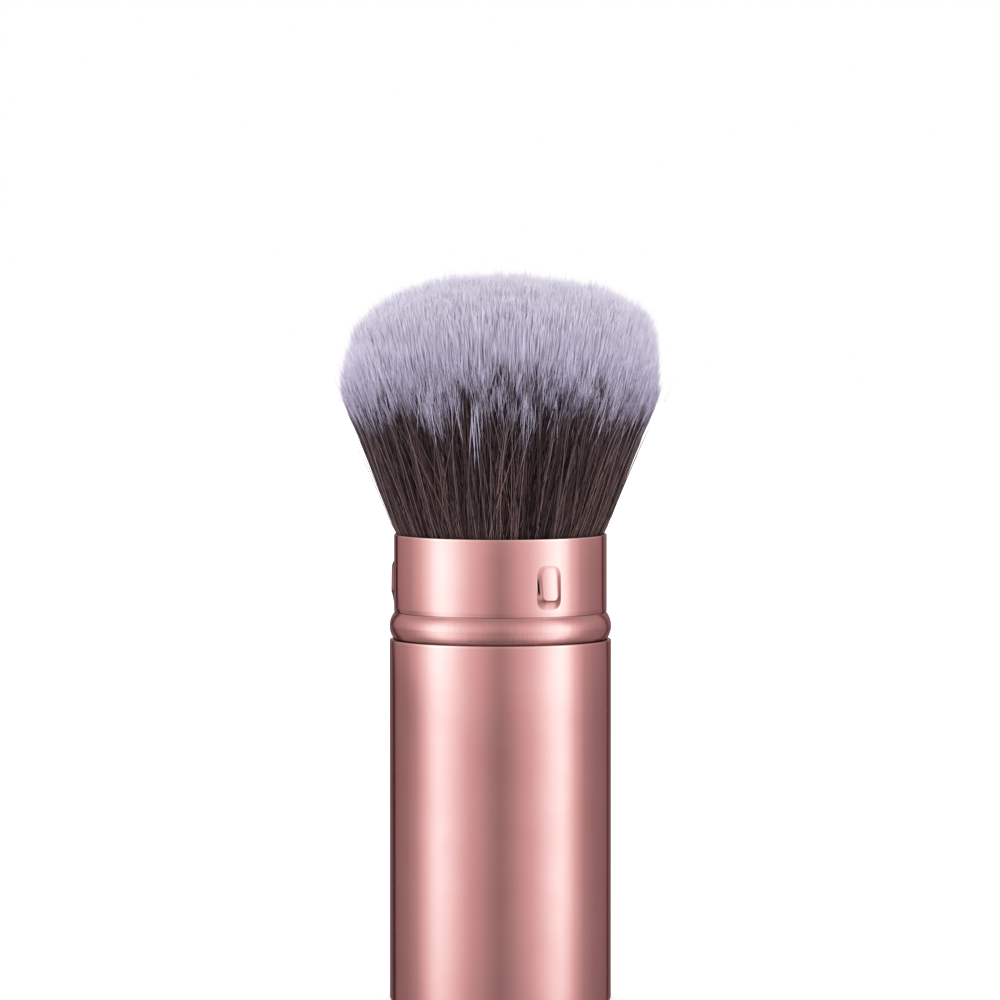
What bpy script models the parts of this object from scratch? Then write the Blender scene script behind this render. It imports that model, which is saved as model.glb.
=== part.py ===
"""A retractable powder brush, standing on its base with the tuft up.

A drawn barrel holds a lining, a post and the tuft. A pressed collar carries a slide tube that
runs between the lining and the post. Pushed up, the tube gathers and covers the tuft.
Lengths are in metres, +Z runs along the brush, and the origin is the centre of the base.
"""

import math

import bmesh
import bpy
from mathutils import Matrix, Vector

# Clearances between pieces
PRESS_GAP = 0.00015
SLIDE_GAP = 0.00020
SEAT_GAP = 0.00020
BORE_GAP = 0.00035

# Barrel shell
BARREL_RADIUS = 0.0140
BARREL_HEIGHT = 0.0460
BARREL_WALL = 0.0005
BARREL_CORNER = 0.0012
LIP_ROUND = 0.00012

# Barrel liner and stop ring
LINER_WALL = 0.0010
GROOVE_DEPTH = 0.0005
GROOVE_WIDTH = 0.0050
GROOVE_DRAFT = 0.0004
STOP_RING_HEIGHT = 0.0024
STOP_RING_DROP = 0.0001
STOP_RING_CHAMFER = 0.0003

# Brush post
FLANGE_THICKNESS = 0.0020
FLANGE_CHAMFER = 0.0004
POST_RADIUS = 0.0090
POST_WALL = 0.0016
POST_ROOT_ROUND = 0.0010
SEAT_FLANGE_HEIGHT = 0.0008
SPIGOT_LENGTH = 0.0050
SPIGOT_CHAMFER = 0.0003

# Ferrule
FERRULE_LENGTH = 0.0140
FERRULE_WALL = 0.00035
CRIMP_DEPTH = 0.0003
CRIMP_WIDTH = 0.0010
CRIMP_HEIGHT = 0.0026

# Slide tube
TUBE_WALL = 0.0005
TUBE_FLOOR_GAP = 0.0023
TUBE_TOP_DROP = 0.0013
SHOULDER_RISE = 0.0003
FINGER_WIDTH = 0.0040
FINGER_LENGTH = 0.0058
SLIT_WIDTH = 0.0008
PAD_WIDTH = 0.0030
PAD_HEIGHT = 0.0029
PAD_FOOT = 0.0004
PAD_RAMP = 0.0008

# Collar shell
COLLAR_INSET = 0.00055
COLLAR_WALL = 0.00035
COLLAR_GAP = 0.00025
BEAD_HEIGHT = 0.00325
BEAD_BULGE = 0.00060
BAND_HEIGHT = 0.0098
BUMP_RISE = 0.00365
BUMP_WIDTH = 0.0033
BUMP_HEIGHT = 0.0056
BUMP_LIFT = 0.00045
BUMP_BORDER = 0.0006
PLATEAU_WIDTH = 0.0021
PLATEAU_HEIGHT = 0.0038

# Tuft
MOUTH_DEPTH = 0.0053
POTTING_DEPTH = 0.0028
POTTING_CHAMFER = 0.0002
TUFT_RADIUS = 0.0200
TUFT_HEIGHT = 0.0330
DOME_HEIGHT = 0.0140

# Shares, counts and angles that no length drives
FLARE_SHARE = 0.40
DOME_SHARE = 2.5
EMBOSS_SHARES = ((0.0, 0.0), (0.7, 0.74), (1.0, 0.97))
STRAND_SHARES = ((0.0, 1.0), (0.72, 0.76), (1.0, 0.22))
STRAND_RINGS = 8
HALVINGS = 48
RING_TWIST = math.radians(4)
SHELL_SIDES = 60
INNER_SIDES = 42
BEAD_STEPS = 8
BUMP_ROWS = 3
CORNER_STEPS = 4
BUMP_COUNT = 3
BUMP_AZIMUTH = math.radians(27)
FULL_TURN = math.tau
QUARTER_TURN = math.pi / 2
SHARP_ANGLE = math.radians(38)
LIP_ANGLE = math.radians(70)

# Two points nearer than this are one point, and cutters run past a face by the overrun
WELD = 0.000001
OVERRUN = 0.0010

# Radii, from the barrel inwards
LINER_RADIUS = BARREL_RADIUS - BARREL_WALL - PRESS_GAP
LINER_BORE = LINER_RADIUS - LINER_WALL
GROOVE_RADIUS = LINER_BORE + GROOVE_DEPTH
TUBE_RADIUS = LINER_BORE - SLIDE_GAP
TUBE_BORE = TUBE_RADIUS - TUBE_WALL
FERRULE_RADIUS = TUBE_BORE - BORE_GAP
FERRULE_BORE = FERRULE_RADIUS - FERRULE_WALL
ROOT_RADIUS = FERRULE_BORE - PRESS_GAP
COLLAR_RADIUS = BARREL_RADIUS - COLLAR_INSET
COLLAR_BORE = COLLAR_RADIUS - COLLAR_WALL
TUBE_HEAD_RADIUS = COLLAR_BORE - PRESS_GAP
PAD_RADIUS = GROOVE_RADIUS - SLIDE_GAP

# Heights, from the base upwards
FLANGE_Z = BARREL_WALL + SEAT_GAP
FLANGE_TOP_Z = FLANGE_Z + FLANGE_THICKNESS
LINER_Z = FLANGE_TOP_Z + SEAT_GAP
STOP_RING_TOP_Z = BARREL_HEIGHT - STOP_RING_DROP
STOP_RING_Z = STOP_RING_TOP_Z - STOP_RING_HEIGHT
LINER_TOP_Z = STOP_RING_Z - SEAT_GAP
COLLAR_Z = BARREL_HEIGHT + COLLAR_GAP
RIM_Z = COLLAR_Z + BEAD_HEIGHT + BAND_HEIGHT
FERRULE_TOP_Z = RIM_Z - MOUTH_DEPTH
FERRULE_Z = FERRULE_TOP_Z - FERRULE_LENGTH
SPIGOT_Z = FERRULE_Z - SEAT_GAP
SPIGOT_TOP_Z = SPIGOT_Z + SPIGOT_LENGTH
POTTING_Z = SPIGOT_TOP_Z + SEAT_GAP
ROOT_Z = POTTING_Z + POTTING_DEPTH + SEAT_GAP
TUBE_Z = FLANGE_TOP_Z + TUBE_FLOOR_GAP
TUBE_TOP_Z = RIM_Z - TUBE_TOP_DROP
SHOULDER_Z = STOP_RING_TOP_Z + SHOULDER_RISE
DOME_Z = RIM_Z + TUFT_HEIGHT - DOME_HEIGHT
FLARE_APEX_Z = FERRULE_TOP_Z - ROOT_RADIUS / FLARE_SHARE


def material(name, colour, roughness, metallic):
    """A plain shader with the piece's colour, roughness and metallic value."""
    made = bpy.data.materials.new(name)
    made.use_nodes = True
    shader = made.node_tree.nodes["Principled BSDF"]
    shader.inputs["Base Color"].default_value = (*colour, 1.0)
    shader.inputs["Roughness"].default_value = roughness
    shader.inputs["Metallic"].default_value = metallic
    made.diffuse_color = (*colour, 1.0)
    return made


def empty(name):
    """An empty on the brush's axis, to which pieces are parented."""
    made = bpy.data.objects.new(name, None)
    bpy.context.collection.objects.link(made)
    return made


def add_object(name, mesh_data, finish, parent, height=0.0):
    """Turns bmesh data into a smooth shaded object that stands at the given height."""
    mesh = bpy.data.meshes.new(name)
    mesh_data.to_mesh(mesh)
    mesh_data.free()
    mesh.shade_smooth()
    mesh.set_sharp_from_angle(angle=SHARP_ANGLE)
    made = bpy.data.objects.new(name, mesh)
    bpy.context.collection.objects.link(made)
    made.parent = parent
    made.location = (0, 0, height)
    if finish:
        mesh.materials.append(finish)
    return made


def arc(centre, radius, start, end, steps):
    """Points of an arc from one angle to another, both in radians from +R towards +Z."""
    angles = [start + (end - start) * i / steps for i in range(steps + 1)]
    return [(centre[0] + radius * math.cos(a), centre[1] + radius * math.sin(a)) for a in angles]


def turned(profile, sides, closed):
    """A profile of (radius, height) points, spun once round the axis, with its faces pointing out."""
    made = bmesh.new()
    points = [made.verts.new((radius, 0, height)) for radius, height in profile]
    following = points[1:] + points[:1] if closed else points[1:]
    edges = [made.edges.new(pair) for pair in zip(points, following)]
    bmesh.ops.spin(
        made,
        geom=points + edges,
        axis=(0, 0, 1),
        cent=(0, 0, 0),
        angle=FULL_TURN,
        steps=sides,
        use_merge=True,
    )
    bmesh.ops.remove_doubles(made, verts=made.verts, dist=WELD)
    bmesh.ops.recalc_face_normals(made, faces=made.faces)
    face_outwards(made)
    return made


def face_outwards(made):
    """Reverses all faces where the outermost one looks towards the axis."""
    made.normal_update()
    outermost = max(made.faces, key=lambda face: face.calc_center_median().xy.length)
    if outermost.normal.xy.dot(outermost.calc_center_median().xy) < 0:
        bmesh.ops.reverse_faces(made, faces=made.faces)


def thicken(piece, wall):
    """Gives a sheet its wall, inwards from the modelled face."""
    solidify = piece.modifiers.new("Wall", "SOLIDIFY")
    solidify.thickness = wall
    solidify.offset = -1
    solidify.use_even_offset = True


def round_lips(piece):
    """Rounds the cut edges of a shell's wall."""
    bevel = piece.modifiers.new("Lip", "BEVEL")
    bevel.width = LIP_ROUND
    bevel.segments = 2
    bevel.limit_method = "ANGLE"
    bevel.angle_limit = LIP_ANGLE


def boolean(piece, cutter, operation):
    """Joins or cuts a piece with a hidden helper."""
    cutter.hide_render = True
    cutter.display_type = "WIRE"
    modifier = piece.modifiers.new(cutter.name, "BOOLEAN")
    modifier.operation = operation
    modifier.solver = "EXACT"
    modifier.object = cutter


def build_barrel_shell(finish, parent):
    """A drawn cup: flat floor, rounded corner, straight wall."""
    corner = (BARREL_RADIUS - BARREL_CORNER, BARREL_CORNER)
    profile = [(0, 0)]
    profile += arc(corner, BARREL_CORNER, -QUARTER_TURN, 0, CORNER_STEPS)
    profile += [(BARREL_RADIUS, BARREL_HEIGHT)]
    shell = add_object("barrel_shell", turned(profile, SHELL_SIDES, False), finish, parent)
    thicken(shell, BARREL_WALL)
    round_lips(shell)


def groove_section():
    """The lining's bore as (angle, radius) points, with a drafted groove opposite each pad."""
    half_groove = GROOVE_WIDTH / 2 / GROOVE_RADIUS
    draft = GROOVE_DRAFT / GROOVE_RADIUS
    pitch = FULL_TURN / BUMP_COUNT
    floor_steps = CORNER_STEPS
    bore_steps = INNER_SIDES // BUMP_COUNT - floor_steps
    section = []
    for copy in range(BUMP_COUNT):
        middle = BUMP_AZIMUTH + copy * pitch
        for step in range(floor_steps + 1):
            share = 2 * step / floor_steps - 1
            section.append((middle + share * (half_groove - draft), GROOVE_RADIUS))
        bore_run = pitch - 2 * half_groove
        for step in range(bore_steps + 1):
            section.append((middle + half_groove + bore_run * step / bore_steps, LINER_BORE))
    return section


def build_barrel_liner(finish, parent):
    """A tube with three lengthwise grooves in its bore, moulded in one piece."""
    section = groove_section()
    made = bmesh.new()
    inner = [made.verts.new(on_circle(angle, radius, 0)) for angle, radius in section]
    outer = [made.verts.new(on_circle(angle, LINER_RADIUS, 0)) for angle, _ in section]
    count = len(section)
    for i in range(count):
        after = (i + 1) % count
        made.faces.new((inner[i], inner[after], outer[after], outer[i]))
    swept = bmesh.ops.extrude_face_region(made, geom=made.faces[:])["geom"]
    risen = [part for part in swept if isinstance(part, bmesh.types.BMVert)]
    bmesh.ops.translate(made, verts=risen, vec=(0, 0, LINER_TOP_Z - LINER_Z))
    bmesh.ops.recalc_face_normals(made, faces=made.faces)
    add_object("barrel_liner", made, finish, parent, LINER_Z)


def on_circle(azimuth, radius, height):
    """A point at an azimuth counted from the front, -Y, towards +X."""
    return (radius * math.sin(azimuth), -radius * math.cos(azimuth), height)


def build_stop_ring(finish, parent):
    """A pressed-in ring whose lower face stops the pads, with a lead-in at the top of its bore."""
    top = STOP_RING_HEIGHT
    profile = [
        (LINER_BORE, 0),
        (LINER_RADIUS, 0),
        (LINER_RADIUS, top - STOP_RING_CHAMFER),
        (LINER_RADIUS - STOP_RING_CHAMFER, top),
        (LINER_BORE + STOP_RING_CHAMFER, top),
        (LINER_BORE, top - STOP_RING_CHAMFER),
    ]
    add_object("stop_ring", turned(profile, INNER_SIDES, True), finish, parent, STOP_RING_Z)


def crimp_points(radius, depth, half, height):
    """A rolled groove in an outer face, from its lower edge to its upper one."""
    angles = [math.pi * i / CORNER_STEPS for i in range(CORNER_STEPS + 1)]
    return [(radius - depth * math.sin(a), height - half * math.cos(a)) for a in angles]


def build_brush_post(finish, parent):
    """A hollow moulded post: a foot flange, a column, a seat for the ferrule and its spigot."""
    column_top = SPIGOT_Z - SEAT_FLANGE_HEIGHT - (FERRULE_RADIUS - POST_RADIUS)
    bore = POST_RADIUS - POST_WALL
    bore_top = SPIGOT_TOP_Z - POST_WALL
    groove_depth = CRIMP_DEPTH + PRESS_GAP
    groove_half = CRIMP_WIDTH / 2 + FERRULE_WALL + PRESS_GAP
    profile = [
        (bore, FLANGE_Z),
        (LINER_RADIUS - FLANGE_CHAMFER - BARREL_CORNER, FLANGE_Z),
        (LINER_RADIUS - FLANGE_CHAMFER, FLANGE_Z + BARREL_CORNER),
        (LINER_RADIUS - FLANGE_CHAMFER, FLANGE_TOP_Z),
        (POST_RADIUS + POST_ROOT_ROUND, FLANGE_TOP_Z),
        (POST_RADIUS, FLANGE_TOP_Z + POST_ROOT_ROUND),
        (POST_RADIUS, column_top),
        (FERRULE_RADIUS, SPIGOT_Z - SEAT_FLANGE_HEIGHT),
        (FERRULE_RADIUS, SPIGOT_Z),
        (ROOT_RADIUS, SPIGOT_Z),
    ]
    profile += crimp_points(ROOT_RADIUS, groove_depth, groove_half, FERRULE_Z + CRIMP_HEIGHT)
    profile += [
        (ROOT_RADIUS, SPIGOT_TOP_Z - SPIGOT_CHAMFER),
        (ROOT_RADIUS - SPIGOT_CHAMFER, SPIGOT_TOP_Z),
        (0, SPIGOT_TOP_Z),
    ]
    profile = [(0, bore_top), (bore, bore_top)] + profile
    placed = [(radius, height - FLANGE_Z) for radius, height in profile]
    add_object("brush_post", turned(placed, INNER_SIDES, False), finish, parent, FLANGE_Z)


def build_ferrule(finish, parent):
    """A thin tube, crimped into the spigot's groove."""
    profile = [(FERRULE_RADIUS, 0)]
    profile += crimp_points(FERRULE_RADIUS, CRIMP_DEPTH, CRIMP_WIDTH / 2, CRIMP_HEIGHT)
    profile += [(FERRULE_RADIUS, FERRULE_LENGTH)]
    ferrule = add_object("ferrule", turned(profile, INNER_SIDES, False), finish, parent, FERRULE_Z)
    thicken(ferrule, FERRULE_WALL)


def build_root_adhesive(finish, parent):
    """The plug that was cast round the roots of the hair."""
    profile = [
        (0, 0),
        (ROOT_RADIUS - POTTING_CHAMFER, 0),
        (ROOT_RADIUS, POTTING_CHAMFER),
        (ROOT_RADIUS, POTTING_DEPTH - POTTING_CHAMFER),
        (ROOT_RADIUS - POTTING_CHAMFER, POTTING_DEPTH),
        (0, POTTING_DEPTH),
    ]
    add_object("root_adhesive", turned(profile, INNER_SIDES, False), finish, parent, POTTING_Z)


def root_disc(radius, height):
    """A disc of even triangles, one for each strand, in rings of six more sides each.

    Each ring is turned a little further than the last, so that no straight gap runs through.
    """
    made = bmesh.new()
    rings = [[made.verts.new((0, 0, height))]]
    for ring in range(1, STRAND_RINGS + 1):
        count = 6 * ring
        ring_radius = radius * ring / STRAND_RINGS
        turns = [FULL_TURN * i / count + ring * RING_TWIST for i in range(count)]
        rings.append([made.verts.new(on_circle(turn, ring_radius, height)) for turn in turns])
    for ring in range(STRAND_RINGS):
        inner, outer = rings[ring], rings[ring + 1]
        for sixth in range(6):
            for i in range(ring + 1):
                here = outer[sixth * (ring + 1) + i]
                ahead = outer[(sixth * (ring + 1) + i + 1) % len(outer)]
                near = inner[(sixth * ring + i) % len(inner)]
                made.faces.new((near, here, ahead))
                if i < ring:
                    beside = inner[(sixth * ring + i + 1) % len(inner)]
                    made.faces.new((near, ahead, beside))
    return made


def dome_reach(direction):
    """How far from the flare's apex a ray meets the tuft's outline, found by halving."""
    low, high = 0.0, TUFT_RADIUS + DOME_Z + DOME_HEIGHT
    for _ in range(HALVINGS):
        middle = (low + high) / 2
        point = direction * middle
        across = point.xy.length / TUFT_RADIUS
        up = max(0.0, (FLARE_APEX_Z + point.z - DOME_Z) / DOME_HEIGHT)
        if across**DOME_SHARE + up**DOME_SHARE < 1:
            low = middle
        else:
            high = middle
    return low


def build_bristle_head(finish, parent):
    """The tuft as thick strands that fan out from one apex, so that none crosses another.

    Each triangle of the root disc grows into a tapering strand of three sides, and the disc
    itself is drawn down into the slice that the ferrule holds.
    """
    made = root_disc(ROOT_RADIUS, FERRULE_TOP_Z)
    apex = Vector((0, 0, FLARE_APEX_Z))
    roots = made.faces[:]
    rim = [edge for edge in made.edges if edge.is_boundary]
    for face in roots:
        grow_strand(made, face, apex)
    wall = bmesh.ops.extrude_edge_only(made, edges=rim)["geom"]
    lowered = [part for part in wall if isinstance(part, bmesh.types.BMVert)]
    for point in lowered:
        point.co.z = ROOT_Z
    lower = [part for part in wall if isinstance(part, bmesh.types.BMEdge) and part.is_boundary]
    bmesh.ops.edgeloop_fill(made, edges=lower)
    bmesh.ops.recalc_face_normals(made, faces=made.faces)
    for point in made.verts:
        point.co.z -= ROOT_Z
    add_object("bristle_head", made, finish, parent, ROOT_Z)


def grow_strand(made, face, apex):
    """Extrudes one root triangle along its ray to the outline, narrowing as it goes."""
    corners = [vert.co.copy() for vert in face.verts]
    centre = face.calc_center_median()
    ray = centre - apex
    reach = dome_reach(ray.normalized()) / ray.length
    tip = face
    for length_share, width_share in STRAND_SHARES[1:]:
        grown = bmesh.ops.extrude_discrete_faces(made, faces=[tip])["faces"]
        tip = grown[0]
        stretch = 1 + (reach - 1) * length_share
        for vert, corner in zip(tip.verts, corners):
            narrowed = centre + (corner - centre) * width_share
            vert.co = apex + (narrowed - apex) * stretch


def on_obround(across_share, up_share, half_run, radius):
    """The point of an upright obround that matches a point of the square border round it."""
    ray = Vector((across_share * radius, up_share * half_run)).normalized()
    across, up = abs(ray.x), abs(ray.y)
    reach = radius / across if across > 0 else math.inf
    if up * reach > half_run:
        below = half_run * up
        reach = below + math.sqrt(radius**2 - (half_run * across) ** 2)
    return ray * reach


def drawn_in(point, outer, inner):
    """Moves a point of one obround to the same place on another, each a half run and a radius."""
    core = max(-outer[0], min(outer[0], point.y))
    scale = inner[1] / outer[1]
    return Vector((point.x * scale, core * inner[0] / outer[0] + (point.y - core) * scale))


def emboss(made, azimuth, centre_z):
    """Presses one bump out of the collar: the wall is opened, then drawn up to a flat top."""
    column = FULL_TURN / SHELL_SIDES
    half_turn = column * math.ceil((BUMP_WIDTH + BUMP_BORDER) / 2 / (COLLAR_RADIUS * column))
    half_rise = BUMP_HEIGHT / 2 + BUMP_BORDER

    def local(point):
        """A point's turn and rise from the middle of the bump."""
        turn = math.atan2(point.x, -point.y) - azimuth
        return (turn + math.pi) % FULL_TURN - math.pi, point.z - centre_z

    def inside(points, margin):
        """Whether all points lie in the square border round the bump."""
        places = [local(point) for point in points]
        return all(abs(t) < half_turn + margin and abs(r) < half_rise + WELD for t, r in places)

    opened = [face for face in made.faces if inside([face.calc_center_median()], 0)]
    bmesh.ops.delete(made, geom=opened, context="FACES")
    edges = [edge for edge in made.edges if edge.is_boundary]
    edges = [edge for edge in edges if inside([v.co for v in edge.verts], column / 2)]
    outline = None
    for draw_share, lift_share in EMBOSS_SHARES:
        height = BUMP_HEIGHT + (PLATEAU_HEIGHT - BUMP_HEIGHT) * draw_share
        width = BUMP_WIDTH + (PLATEAU_WIDTH - BUMP_WIDTH) * draw_share
        before, outline = outline, ((height - width) / 2, width / 2)
        drawn = bmesh.ops.extrude_edge_only(made, edges=edges)["geom"]
        edges = [part for part in drawn if isinstance(part, bmesh.types.BMEdge)]
        edges = [edge for edge in edges if edge.is_boundary]
        for vert in {vert for edge in edges for vert in edge.verts}:
            turn, rise = local(vert.co)
            if before:
                place = drawn_in(Vector((turn * COLLAR_RADIUS, rise)), before, outline)
            else:
                place = on_obround(turn / half_turn, rise / half_rise, *outline)
            lifted = COLLAR_RADIUS + BUMP_LIFT * lift_share
            vert.co = on_circle(azimuth + place.x / COLLAR_RADIUS, lifted, centre_z + place.y)
    top = bmesh.ops.edgeloop_fill(made, edges=edges)["faces"]
    crown = bmesh.ops.poke(made, faces=top)["verts"][0]
    crown.co = on_circle(azimuth, COLLAR_RADIUS + BUMP_LIFT, centre_z)


def collar_profile():
    """The collar's outer face from its foot up: bead, tight fillet, straight band."""
    half = BEAD_HEIGHT / 2
    curve = (half**2 + BEAD_BULGE**2) / (2 * BEAD_BULGE)
    spread = math.asin(half / curve)
    centre = (COLLAR_RADIUS + BEAD_BULGE - curve, half)
    profile = arc(centre, curve, -spread, spread, BEAD_STEPS)
    bump_z = BEAD_HEIGHT + BUMP_RISE
    border = BUMP_HEIGHT / 2 + BUMP_BORDER
    rows = [bump_z + border * row / BUMP_ROWS for row in range(-BUMP_ROWS, BUMP_ROWS + 1)]
    profile += [(COLLAR_RADIUS, row) for row in rows]
    profile += [(COLLAR_RADIUS, BEAD_HEIGHT + BAND_HEIGHT)]
    return profile


def build_collar_shell(finish, parent):
    """A pressed collar: a half round bead, a straight band and three bumps pressed out of it."""
    made = turned(collar_profile(), SHELL_SIDES, False)
    bmesh.ops.rotate(made, verts=made.verts, matrix=Matrix.Rotation(BUMP_AZIMUTH, 3, "Z"))
    for copy in range(BUMP_COUNT):
        azimuth = BUMP_AZIMUTH + FULL_TURN * copy / BUMP_COUNT
        emboss(made, azimuth, BEAD_HEIGHT + BUMP_RISE)
    bmesh.ops.recalc_face_normals(made, faces=made.faces)
    face_outwards(made)
    collar = add_object("collar_shell", made, finish, parent, COLLAR_Z)
    thicken(collar, COLLAR_WALL)
    round_lips(collar)


def tube_profile():
    """The slide tube's closed outline: thin in the barrel, stout in the collar, flared at its mouth."""
    mouth = ROOT_RADIUS + (TUBE_TOP_Z - FERRULE_TOP_Z) * FLARE_SHARE + SLIDE_GAP
    flare_z = TUBE_TOP_Z - (mouth - TUBE_BORE) / FLARE_SHARE
    return [
        (TUBE_RADIUS, TUBE_Z),
        (TUBE_RADIUS, SHOULDER_Z),
        (TUBE_HEAD_RADIUS, SHOULDER_Z + (TUBE_HEAD_RADIUS - TUBE_RADIUS)),
        (TUBE_HEAD_RADIUS, TUBE_TOP_Z),
        (mouth, TUBE_TOP_Z),
        (TUBE_BORE, flare_z),
        (TUBE_BORE, TUBE_Z),
    ]


def pad_helper(azimuth, parent):
    """A catch pad: it stands out from the finger with a flat top and a ramp at its foot."""
    inside = TUBE_RADIUS - TUBE_WALL / 2
    pad_z = TUBE_Z + PAD_FOOT
    outline = [
        (inside, pad_z),
        (TUBE_RADIUS, pad_z),
        (PAD_RADIUS, pad_z + PAD_RAMP),
        (PAD_RADIUS, pad_z + PAD_HEIGHT),
        (inside, pad_z + PAD_HEIGHT),
    ]
    made = bmesh.new()
    half = PAD_WIDTH / 2 / PAD_RADIUS
    edge_loop = [made.verts.new(on_circle(azimuth - half, r, z)) for r, z in outline]
    made.faces.new(edge_loop)
    bmesh.ops.spin(
        made,
        geom=made.faces[:] + made.edges[:],
        axis=(0, 0, 1),
        cent=(0, 0, 0),
        angle=2 * half,
        steps=CORNER_STEPS,
    )
    bmesh.ops.recalc_face_normals(made, faces=made.faces)
    return add_object("pad_helper", made, None, parent)


def slit_cutter(azimuth, parent):
    """A radial blade that frees one side of a spring finger."""
    made = bmesh.new()
    bmesh.ops.create_cube(made, size=1.0)
    length = FINGER_LENGTH + OVERRUN
    depth = TUBE_WALL + 2 * OVERRUN
    bmesh.ops.scale(made, vec=(SLIT_WIDTH, depth, length), verts=made.verts)
    middle = on_circle(0, TUBE_RADIUS - TUBE_WALL / 2, TUBE_Z + FINGER_LENGTH - length / 2)
    bmesh.ops.translate(made, vec=middle, verts=made.verts)
    bmesh.ops.rotate(made, verts=made.verts, matrix=Matrix.Rotation(azimuth, 3, "Z"))
    return add_object("slit_cutter", made, None, parent)


def build_slide_tube(finish, parent):
    """The moulded tube in the collar, with three spring fingers that keep it in the barrel."""
    made = turned(tube_profile(), INNER_SIDES, True)
    tube = add_object("slide_tube", made, finish, parent)
    slit_turn = (FINGER_WIDTH + SLIT_WIDTH) / 2 / TUBE_RADIUS
    for copy in range(BUMP_COUNT):
        azimuth = BUMP_AZIMUTH + FULL_TURN * copy / BUMP_COUNT
        boolean(tube, pad_helper(azimuth, parent), "UNION")
        boolean(tube, slit_cutter(azimuth - slit_turn, parent), "DIFFERENCE")
        boolean(tube, slit_cutter(azimuth + slit_turn, parent), "DIFFERENCE")


def build_brush():
    """Clears the scene and makes every piece."""
    for item in list(bpy.data.objects):
        bpy.data.objects.remove(item, do_unlink=True)
    body = empty("brush_body")
    slide = empty("collar_slide_axis")
    satin = material("satin rose anodised", (0.66, 0.33, 0.32), 0.30, 1.0)
    gloss = material("bright rose anodised", (0.72, 0.37, 0.36), 0.22, 1.0)
    plated = material("metallised rose moulding", (0.60, 0.30, 0.29), 0.35, 0.9)
    lining = material("black moulding", (0.03, 0.03, 0.03), 0.50, 0.0)
    post = material("grey moulding", (0.16, 0.16, 0.17), 0.55, 0.0)
    bare = material("plain aluminium", (0.75, 0.75, 0.76), 0.30, 1.0)
    resin = material("amber resin", (0.35, 0.22, 0.08), 0.25, 0.0)
    hair = material("lavender hair", (0.50, 0.46, 0.62), 0.60, 0.0)
    build_barrel_shell(satin, body)
    build_barrel_liner(lining, body)
    build_stop_ring(lining, body)
    build_brush_post(post, body)
    build_ferrule(bare, body)
    build_root_adhesive(resin, body)
    build_bristle_head(hair, body)
    build_slide_tube(plated, slide)
    build_collar_shell(gloss, slide)


build_brush()
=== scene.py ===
"""Looks of a retractable powder brush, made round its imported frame.

Fine metal shells stand for the faceted ones, and a tuft of single hairs stands for the coarse one.
Lengths are in metres. Azimuths count from the front, -Y, towards +X.
"""

import math
from collections import namedtuple

import bmesh
import bpy
import numpy as np
from mathutils import Matrix, Vector


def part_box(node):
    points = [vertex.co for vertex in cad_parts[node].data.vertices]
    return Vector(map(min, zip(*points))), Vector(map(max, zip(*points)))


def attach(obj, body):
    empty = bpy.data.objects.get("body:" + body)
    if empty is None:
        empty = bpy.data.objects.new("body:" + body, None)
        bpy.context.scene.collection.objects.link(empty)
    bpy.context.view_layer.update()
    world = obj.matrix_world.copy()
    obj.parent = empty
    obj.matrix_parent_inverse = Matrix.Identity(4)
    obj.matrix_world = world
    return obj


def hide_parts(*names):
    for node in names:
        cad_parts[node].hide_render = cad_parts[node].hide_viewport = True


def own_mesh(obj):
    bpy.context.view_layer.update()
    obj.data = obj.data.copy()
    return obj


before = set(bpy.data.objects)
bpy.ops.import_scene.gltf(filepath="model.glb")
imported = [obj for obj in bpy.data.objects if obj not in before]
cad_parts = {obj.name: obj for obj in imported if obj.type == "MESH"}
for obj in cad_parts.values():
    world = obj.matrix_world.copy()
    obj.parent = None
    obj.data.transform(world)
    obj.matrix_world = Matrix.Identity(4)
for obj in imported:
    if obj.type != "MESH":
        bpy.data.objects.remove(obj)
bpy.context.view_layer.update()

# Camera
CAMERA_DISTANCE = 0.900
CAMERA_HEIGHT = 0.110
CAMERA_SIDE = -0.00005
AIM_HEIGHT = 0.06355
LENS_MM = 256.9
SENSOR_MM = 36.0

# What the frame says
BARREL_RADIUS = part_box("barrel_shell")[1].x
BARREL_TOP_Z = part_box("barrel_shell")[1].z
COLLAR_Z, RIM_Z = (corner.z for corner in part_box("collar_shell"))
TUBE_Z, TUBE_TOP_Z = (corner.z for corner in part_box("slide_tube"))
RING_Z, RING_TOP_Z = (corner.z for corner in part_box("stop_ring"))
RING_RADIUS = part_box("stop_ring")[1].x
FERRULE_TOP_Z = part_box("ferrule")[1].z

# Turned and welded meshes
QUARTER = math.pi / 2
SEGMENTS = 288
WELD = 1e-7
SHARP_ANGLE = math.radians(40)

# Barrel shell
BARREL_WALL = 0.0005
BARREL_CORNER = 0.0007
CORNER_STEPS = (12, 8)
LIP_ROUND = 0.00012
LIP_STEPS = 5

# Collar shell
COLLAR_RADIUS = BARREL_RADIUS - 0.00055
COLLAR_WALL = 0.00035
BEAD_HEIGHT = 0.00317
BEAD_BULGE = 0.00056
# How tightly the bead curves below and above its widest line, and how high that line is
BEAD_CURVES = (0.00272, 0.0028)
BEAD_CENTRE = 0.00138
BEAD_STEPS = (14, 16)
BEAD_END_SHARE = 0.97
CREASE_DEPTH = 0.00005
CREASE_RISE = 0.0002
CREASE_SHARES = (0.0, 0.1, 0.25, 0.45, 0.7)
COLLAR_DROP = 0.00016
COLLAR_SHARP_ANGLE = math.radians(50)
PLAIN_STEPS = 70

# Pressed bumps. A plate or a foot is a half width, a half height and a corner.
BUMP_COUNT = 3
BUMP_AZIMUTH = math.radians(27)
BUMP_Z = COLLAR_Z + BEAD_HEIGHT + 0.00373
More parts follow.
